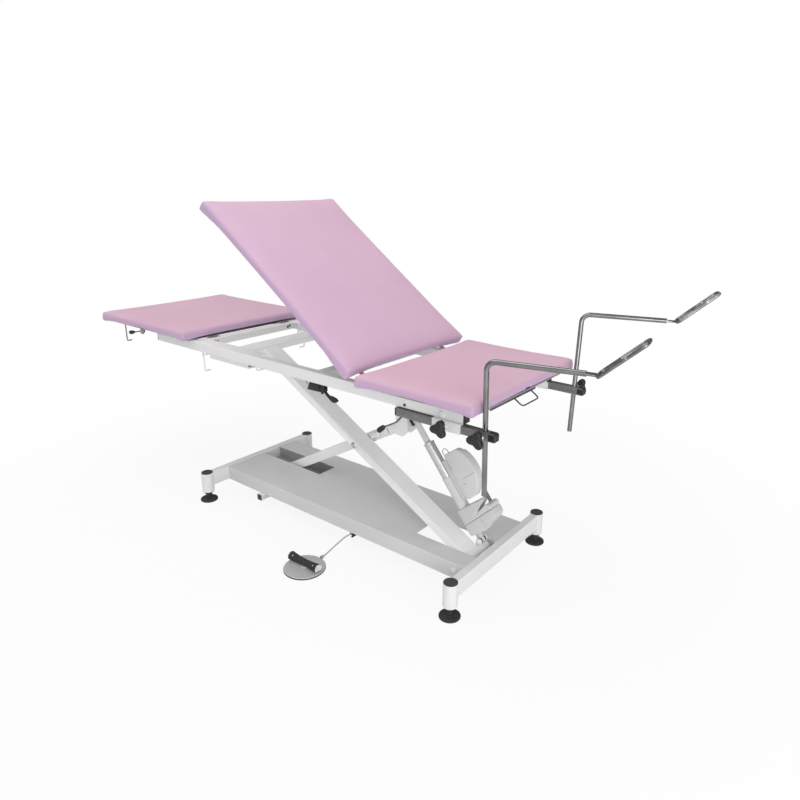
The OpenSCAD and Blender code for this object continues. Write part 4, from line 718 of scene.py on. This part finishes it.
# actuator: gear housing with its seam, the motor's pod, the outer tube, the piston and the ribbed gland
actuatorPlace = placeAt(548, -12, 128, 0, -38.5)
housingSet = {
    "shells": [  # name, outline, higher y, depth, soft edge
        ("housingUpper", [(-17.6, 70.6), (66, 79.3), (66, 100), (112, 126), (110, 130), (-14, 128), (-17.6, 124)],
         23, 46, 2.6),
        ("housingLower", [(-17.6, 69.8), (-17.6, 31), (-13, 27), (56, 27), (60, 31), (60, 77.7)], 23, 46, 2.6),
        ("podUpper", [(44, 88.5), (60, 80), (122, 86), (124, 100), (114, 108), (100, 106)], 40, 64, 3.2),
        ("podLower", [(60, 78.5), (122, 85), (122, 62), (112, 50), (62, 32)], 40, 64, 3.2)],
    "eye": [(-8, 6.2), (-8, 10), (-7.4, 10.5), (7.4, 10.5), (8, 10), (8, 6.2)],
    "neck": ((-9, -7.6, 6.5), (9, 7.6, 29), 0.8),
    "tubeShift": 2.6, "bore": [(38, 19.4), (140, 19.4)],
    "tube": [(118, 20), (118, 22.4), (125, 22.6), (126, 21), (243, 20.8), (243.6, 21.6), (249.4, 21.6),
             (250.4, 21), (250.4, 19.7), (121, 19.7)],
    "piston": [(150, 18.4), (150.6, 19), (383, 19), (383.6, 20.2), (390, 20.2), (391, 19.4), (391, 11.7)],
    "gland": [(108, 5), (109, 7), (113, 7)], "glandEnd": (153, 5), "glandAt": (121, 2, 0),
    "ribs": 8, "ribFrom": 114, "ribPitch": 4.6, "rib": [(0, 5.6), (1.6, 5.6), (2, 6.8), (4, 6.8)]}


def addActuator():
    shells = [outlinePiece(name, outline, depth, standing(actuatorPlace, high), soft, 3, 40)
              for name, outline, high, depth, soft in housingSet["shells"]]
    eye = turnedPiece("housingEye", housingSet["eye"], actuatorPlace @ Matrix.Rotation(math.radians(90), 4, "X"))
    low, high, soft = housingSet["neck"]
    neck = blockPiece("housingNeck", low, high, soft, actuatorPlace)
    tubePlace = actuatorPlace @ Matrix.Translation((housingSet["tubeShift"] / 1000, 0, 0))
    tube = turnedPiece("outerTube", housingSet["tube"], tubePlace, 64)
    bore = turnedPiece("housingBore", housingSet["bore"], tubePlace, 64)
    for part in shells[:2] + [tube]:  # the piston runs down into the housing
        applyModifier(part, "BOOLEAN", operation="DIFFERENCE", solver="EXACT", object=bore)
        smoothPiece(part, 40)
    bpy.data.objects.remove(bore)
    finishPiece(joinPieces("gearHousing", shells + [eye, neck]), greyPlastic, "grey_plastic", "actuator_body",
                "actuator_housing")
    finishPiece(tube, paleGreyPlastic, "grey_metal", "actuator_body", "actuator_outer_tube")
    piston = turnedPiece("actuatorPiston", housingSet["piston"], tubePlace, 64)
    finishPiece(piston, satinSteel, "grey_metal", "actuator_rod", "actuator_piston")
    rings = list(housingSet["gland"])
    for k in range(housingSet["ribs"]):
        foot = housingSet["ribFrom"] + housingSet["ribPitch"] * k
        rings += [(foot + z, r) for z, r in housingSet["rib"]]
    glandPlace = actuatorPlace @ Matrix.Translation(Vector(housingSet["glandAt"]) / 1000)
    gland = turnedPiece("motorGland", rings + [housingSet["glandEnd"]], glandPlace, 32)
    finishPiece(gland, darkRubber, "grey_plastic", "actuator_body")


addActuator()

# control box beside the tube: front and back halves on a saddle, with its seam, row of dots and wire loop
controlSet = {
    "outline": [(50, 154), (56, 147), (68, 148), (98, 150), (114, 162), (130, 186), (142, 212), (146, 232),
                (144, 262), (136, 294), (126, 314), (116, 322), (62, 324), (51, 318), (49, 250), (49, 180)],
    "middle": (97, 236), "backShare": 0.86, "frontHigh": 3, "frontDepth": 27, "backHigh": 24, "backDepth": 30,
    "seam": [(82, 219.6), (144, 222.2), (144, 223.1), (82, 220.5)],
    "tick": [(70, 202.6), (84, 199.6), (84, 200.6), (70, 203.6)], "markAt": -23.65, "markDepth": 0.5,
    "saddle": ((23.6, -13, 156), (56, 15, 308)),
    "dots": 8, "dotFrom": (57, 306), "dotTo": (56, 266), "dotAt": -23.8,
    "dot": [(0, 1.35), (0.6, 1.35), (0.9, 1), (0.95, 0.3)],
    "wire": [(57, -20, 314), (57, -22, 335), (68, -22, 345), (80, -22, 338), (82, -21, 322)]}


def addControlBox():
    middle = Vector(controlSet["middle"])
    inner = [tuple(middle + (Vector(spot) - middle) * controlSet["backShare"]) for spot in controlSet["outline"]]
    front = outlinePiece("controlFront", controlSet["outline"], controlSet["frontDepth"],
                         standing(actuatorPlace, controlSet["frontHigh"]), 5, 4, 45)
    back = outlinePiece("controlBack", inner, controlSet["backDepth"],
                        standing(actuatorPlace, controlSet["backHigh"]), 4, 3, 45)
    saddle = blockPiece("controlSaddle", *controlSet["saddle"], 2, actuatorPlace)
    finishPiece(joinPieces("controlBox", [front, back, saddle]), paleGreyPlastic, "grey_plastic", "actuator_body",
                "control_box")
    marks = [outlinePiece("box" + key.title(), controlSet[key], controlSet["markDepth"],
                          standing(actuatorPlace, controlSet["markAt"])) for key in ("seam", "tick")]
    start, end = Vector(controlSet["dotFrom"]), Vector(controlSet["dotTo"])
    dotPlace = actuatorPlace @ Matrix.Translation((start.x / 1000, 0, start.y / 1000))
    dot = turnedPiece("boxDot", controlSet["dot"], standing(dotPlace, controlSet["dotAt"]), 12)
    marks.append(dot)
    for k in range(1, controlSet["dots"]):
        along = (end - start) * k / (controlSet["dots"] - 1)
        marks.append(copyPiece(dot, "boxDot%d" % k, actuatorPlace.to_3x3() @ Vector((along.x, 0, along.y))))
    finishPiece(joinPieces("boxMarks", marks), darkSteel, "dark_steel", "actuator_body")
    wire = wirePiece("boxWire", controlSet["wire"], 7, 1.1, actuatorPlace)
    finishPiece(wire, blackPlastic, "black_plastic", "actuator_body")


addControlBox()

# levers, release box and small fittings under the near rail
leverSet = {
    "core": [(-22, 661), (-34, 632), (36, 634.6), (36, 661)], "coreDepth": 19, "boxHigh": -256,
    "cheek": [(28, 661), (28, 634.3), (47, 635), (51.5, 661.5)], "cheekDepth": 3, "cheeksHigh": (-256, -272),
    "stub": ((31, -270, 627), (37, -262, 636)),
    "pin": [(-0.6, 2.4), (0, 3), (19, 3), (19.6, 2.4)], "pinAt": (47, 0, 644.23),
    "paddle": [(43, 640), (50, 639), (64, 628), (80, 628), (99, 624), (107, 617.5), (104, 611), (93, 607),
               (82, 608), (71, 614), (60, 622), (46, 634)], "paddleDepth": 11, "paddleHigh": -260,
    "hub": [(0, 3.3), (0, 6.4), (0.6, 7), (10.4, 7), (11, 6.4), (11, 3.3)],
    "wire": [(-33, -266, 648), (-46, -264, 652), (-56, -262, 661)],
    "seatStrip": [(375, 652.2), (369, 617), (349, 594), (322, 578), (294, 563)], "stripThick": 5,
    "stripWide": (-249, -240), "seatEye": [(-0.5, 3.3), (-0.5, 7.6), (0, 8), (6, 8), (6.5, 7.6), (6.5, 3.3)],
    "eyeAt": (375, 0, 652.23), "eyeHigh": -241,
    "seatGrip": [(-2, 5), (0, 7), (6, 8.4), (14, 9.3), (22, 9.5), (28, 8.9), (31.5, 7), (33, 4), (33.4, 1)],
    "gripAt": (293.6, -244, 563, 0, -130.5), "seatWire": [(307.6, -244, 562), (311, -244, 553), (318, -244, 546)]}


def addReleaseBox():
    high = leverSet["boxHigh"]
    core = outlinePiece("releaseCore", leverSet["core"], leverSet["coreDepth"], standing(base, high), 2.2, 3)
    cheeks = [outlinePiece("releaseCheek", leverSet["cheek"], leverSet["cheekDepth"], standing(base, y), 0.7)
              for y in leverSet["cheeksHigh"]]
    stub = blockPiece("releaseStub", *leverSet["stub"], 1, base)
    pin = turnedPiece("releasePin", leverSet["pin"], standing(placeAt(*leverSet["pinAt"]), high), 24)
    finishPiece(joinPieces("releaseHousing", [core, *cheeks, stub, pin]), blackPlastic, "black_plastic",
                "upper_frame", "release_box")
    high = leverSet["paddleHigh"]
    hub = turnedPiece("paddleHub", leverSet["hub"], standing(placeAt(*leverSet["pinAt"]), high), 32)
    grip = outlinePiece("paddleGrip", leverSet["paddle"], leverSet["paddleDepth"], standing(base, high), 2.6, 3, 45)
    finishPiece(joinPieces("releaseGrip", [hub, grip]), blackPlastic, "black_plastic", "release_paddle",
                "release_paddle")
    finishPiece(wirePiece("releaseWire", leverSet["wire"], 6, 0.9, base), darkSteel, "dark_steel", "upper_frame")


def addSeatLever():
    strip = ribbonPiece("seatLeverStrip", leverSet["seatStrip"], leverSet["stripThick"], *leverSet["stripWide"], base)
    eye = turnedPiece("seatLeverEye", leverSet["seatEye"],
                      standing(placeAt(*leverSet["eyeAt"]), leverSet["eyeHigh"]), 32)
    finishPiece(joinPieces("seatLeverBlade", [strip, eye]), wornSteel, "dark_steel", "seat_lever", "seat_lever")
    grip = turnedPiece("seatLeverGrip", leverSet["seatGrip"], placeAt(*leverSet["gripAt"]), 40, 50)
    wire = wirePiece("seatLeverWire", leverSet["seatWire"], 5, 0.8, base)
    finishPiece(joinPieces("seatLeverGrip", [grip, wire]), blackPlastic, "black_plastic", "seat_lever")


addReleaseBox()
addSeatLever()

# end caps of the sliding bars
barCapSet = {"y": (264.4, 290.6), "foot": (714, 741, 635.9, 662.1), "footSoft": 4, "head": (377, 385, 636.5, 661.5),
             "headInset": 0.6, "headSoft": 1.6,
             "bars": [("nearBarCaps", "near_bar", "near_bar_plugs", -1, 0),  # name, body, node, side, shift
                      ("farBarCaps", "far_bar", "far_bar_plugs", 1, 17)]}


def addBarCaps(name, body, node, side, shift):
    y0, y1 = sorted(side * y for y in barCapSet["y"])
    x0, x1, z0, z1 = barCapSet["foot"]
    foot = blockPiece(name + "Foot", (x0 + shift, y0, z0), (x1 + shift, y1, z1), barCapSet["footSoft"], base, 1, 20)
    x0, x1, z0, z1 = barCapSet["head"]
    inset = barCapSet["headInset"]
    head = blockPiece(name + "Head", (x0 + shift, y0 + inset, z0), (x1 + shift, y1 - inset, z1),
                      barCapSet["headSoft"], base)
    finishPiece(joinPieces(name, [foot, head]), blackPlastic, "black_plastic", body, node)


for bar in barCapSet["bars"]:
    addBarCaps(*bar)

# screws on the rails and on the head's cross tube, and the lock at the actuator's bracket
screwSet = {"head": [(0, 4.6), (0.4, 5), (1.6, 5), (2.4, 4.4), (2.9, 3), (3.0, 1)],
            "screws": [  # place, turnX, turnY
                (409.5, -280, 675, 90, 0), (409.5, 280, 675, -90, 0), (-655, -201, 692, 0, 90),
                (-655, -189, 688, 0, 90), (-655, 201, 692, 0, 90), (-655, 189, 688, 0, 90)],
            "lock": [(239, 514), (245, 516), (262, 498), (257, 494), (251, 497)], "lockDepth": 9, "lockHigh": -33}


def addScrews():
    lock = outlinePiece("bracketStub", screwSet["lock"], screwSet["lockDepth"],
                        standing(base, screwSet["lockHigh"]), 1)
    finishPiece(lock, blackPlastic, "black_plastic", "second_arm")
    heads = [turnedPiece("screw", screwSet["head"], placeAt(*spot), 20) for spot in screwSet["screws"]]
    finishPiece(joinPieces("frameScrews", heads), darkSteel, "dark_steel", "upper_frame")


addScrews()

# foot switch: dark rim of the plate and the two pale marks on the grip
switchSet = {"centre": (43, -392), "rim": [(0.4, 74), (0.5, 75.2), (1, 75.7), (5, 75.7), (5.6, 75.2), (5.7, 74)],
             "mark": [(-0.6, 2.6), (0.1, 2.6), (0.5, 2), (0.6, 0.6)], "marks": (-52, 52), "markHeight": 14.6,
             "grip": (37, -386, 20), "gripTilt": 40}


def addSwitchTrim():
    rim = turnedPiece("plateRim", switchSet["rim"], placeAt(*switchSet["centre"], 0), 96)
    finishPiece(rim, darkSteel, "dark_steel", "base")
    x, y, z = switchSet["grip"]
    marks = []
    for along in switchSet["marks"]:
        lift = Matrix.Translation((0, 0, switchSet["markHeight"] / 1000))
        place = placeAt(x + along, y, z, switchSet["gripTilt"]) @ lift
        marks.append(turnedPiece("gripMark", switchSet["mark"], place, 24))
    finishPiece(joinPieces("gripMarks", marks), paleMark, "grey_plastic", "rocker")


addSwitchTrim()
print("fittings made")

# studio: pale floor, soft lamps, white behind the table for the camera, and a bright side for reflections
studioSet = {"fill": 0.62, "front": (0.60, -0.80, 0.0), "floorSize": 5.2, "floorDrop": 0.0005, "floorColor": 0.84,
             "glowNear": 0.9, "fadeFrom": 1.2, "fadeTo": 2.3,
             "reflections": [(0.0, 1.0), (0.10, 0.95), (0.26, 0.42), (0.6, 0.36), (1.0, 0.22)],
             "lamps": [  # place, aim, size in metres, watts, colour
                 ((-0.8, -0.5, 3.6), (-0.4, 0, 0.7), 3.2, 54, (1.0, 0.965, 0.94)),
                 ((3.3, -2.0, 1.0), (0.5, -0.1, 0.3), 2.2, 46, (0.99, 0.99, 1.0))]}


def addNode(tree, kind, **values):
    node = tree.nodes.new(kind)
    for key, value in values.items():
        setattr(node, key, value)
    return node


def mathNode(tree, operation, first, second):
    node = addNode(tree, "ShaderNodeMath", operation=operation)
    for socket, value in zip(node.inputs, (first, second)):
        if isinstance(value, (int, float)):
            socket.default_value = value
        else:
            tree.links.new(value, socket)
    return node.outputs["Value"]


def addWorld():
    world = bpy.data.worlds.new("studioWorld")
    bpy.context.scene.world = world
    world.use_nodes = True
    tree = world.node_tree
    path = addNode(tree, "ShaderNodeLightPath")
    direction = addNode(tree, "ShaderNodeTexCoord")
    toFront = addNode(tree, "ShaderNodeVectorMath", operation="DOT_PRODUCT")
    toFront.inputs[1].default_value = studioSet["front"]
    tree.links.new(direction.outputs["Generated"], toFront.inputs[0])
    away = mathNode(tree, "MULTIPLY_ADD", toFront.outputs["Value"], -0.5)
    away.node.inputs[2].default_value = 0.5
    bands = addNode(tree, "ShaderNodeValToRGB")
    spots = studioSet["reflections"]
    while len(bands.color_ramp.elements) < len(spots):
        bands.color_ramp.elements.new(0.5)
    for element, (where, level) in zip(bands.color_ramp.elements, spots):
        element.position = where
        element.color = (level, level, level, 1)
    tree.links.new(away, bands.inputs["Fac"])
    level = addNode(tree, "ShaderNodeMix", data_type="FLOAT")
    level.inputs["A"].default_value = studioSet["fill"]
    tree.links.new(path.outputs["Is Glossy Ray"], level.inputs["Factor"])
    tree.links.new(bands.outputs["Color"], level.inputs["B"])
    light = tree.nodes["Background"]
    light.inputs["Color"].default_value = (1, 1, 1, 1)
    tree.links.new(level.outputs["Result"], light.inputs["Strength"])
    white = addNode(tree, "ShaderNodeBackground")
    white.inputs["Color"].default_value = (1, 1, 1, 1)
    mix = addNode(tree, "ShaderNodeMixShader")
    seen = mathNode(tree, "MAXIMUM", path.outputs["Is Camera Ray"], path.outputs["Is Transmission Ray"])
    tree.links.new(seen, mix.inputs["Fac"])
    tree.links.new(light.outputs["Background"], mix.inputs[1])
    tree.links.new(white.outputs["Background"], mix.inputs[2])
    tree.links.new(mix.outputs["Shader"], tree.nodes["World Output"].inputs["Surface"])


def addFloor():
    deselectAll()
    bpy.ops.mesh.primitive_plane_add(size=studioSet["floorSize"], location=(0, 0, -studioSet["floorDrop"]))
    floor = startPiece("floor")
    settle(floor)
    floorPaint = bpy.data.materials.new("floorPaint")
    floorPaint.use_nodes = True
    tree = floorPaint.node_tree
    shader = tree.nodes["Principled BSDF"]
    shader.inputs["Base Color"].default_value = (*[studioSet["floorColor"]] * 3, 1)
    shader.inputs["Roughness"].default_value = 0.8
    shader.inputs["Specular IOR Level"].default_value = 0.1
    glow = addNode(tree, "ShaderNodeEmission")
    path = addNode(tree, "ShaderNodeLightPath")
    place = addNode(tree, "ShaderNodeTexCoord")
    far = addNode(tree, "ShaderNodeVectorMath", operation="LENGTH")
    tree.links.new(place.outputs["Object"], far.inputs[0])
    fade = addNode(tree, "ShaderNodeMapRange", interpolation_type="SMOOTHSTEP")
    fade.inputs["From Min"].default_value = studioSet["fadeFrom"]
    fade.inputs["From Max"].default_value = studioSet["fadeTo"]
    fade.inputs["To Min"].default_value = studioSet["glowNear"]
    tree.links.new(far.outputs["Value"], fade.inputs["Value"])
    mix = addNode(tree, "ShaderNodeMixShader")
    seen = mathNode(tree, "MULTIPLY", path.outputs["Is Camera Ray"], fade.outputs["Result"])
    tree.links.new(seen, mix.inputs["Fac"])
    tree.links.new(shader.outputs["BSDF"], mix.inputs[1])
    tree.links.new(glow.outputs["Emission"], mix.inputs[2])
    tree.links.new(mix.outputs["Shader"], tree.nodes["Material Output"].inputs["Surface"])
    floor.data.materials.append(floorPaint)


def addStudio():
    addWorld()
    addFloor()
    for index, (spot, aim, size, watts, color) in enumerate(studioSet["lamps"]):
        bpy.ops.object.light_add(type="AREA", location=spot)
        lamp = bpy.context.object
        lamp.name = "softLamp%d" % (index + 1)
        lamp.rotation_euler = (Vector(aim) - Vector(spot)).to_track_quat("-Z", "Y").to_euler()
        lamp.data.size = size
        lamp.data.energy = watts
        lamp.data.color = color


addStudio()
print("studio ready")
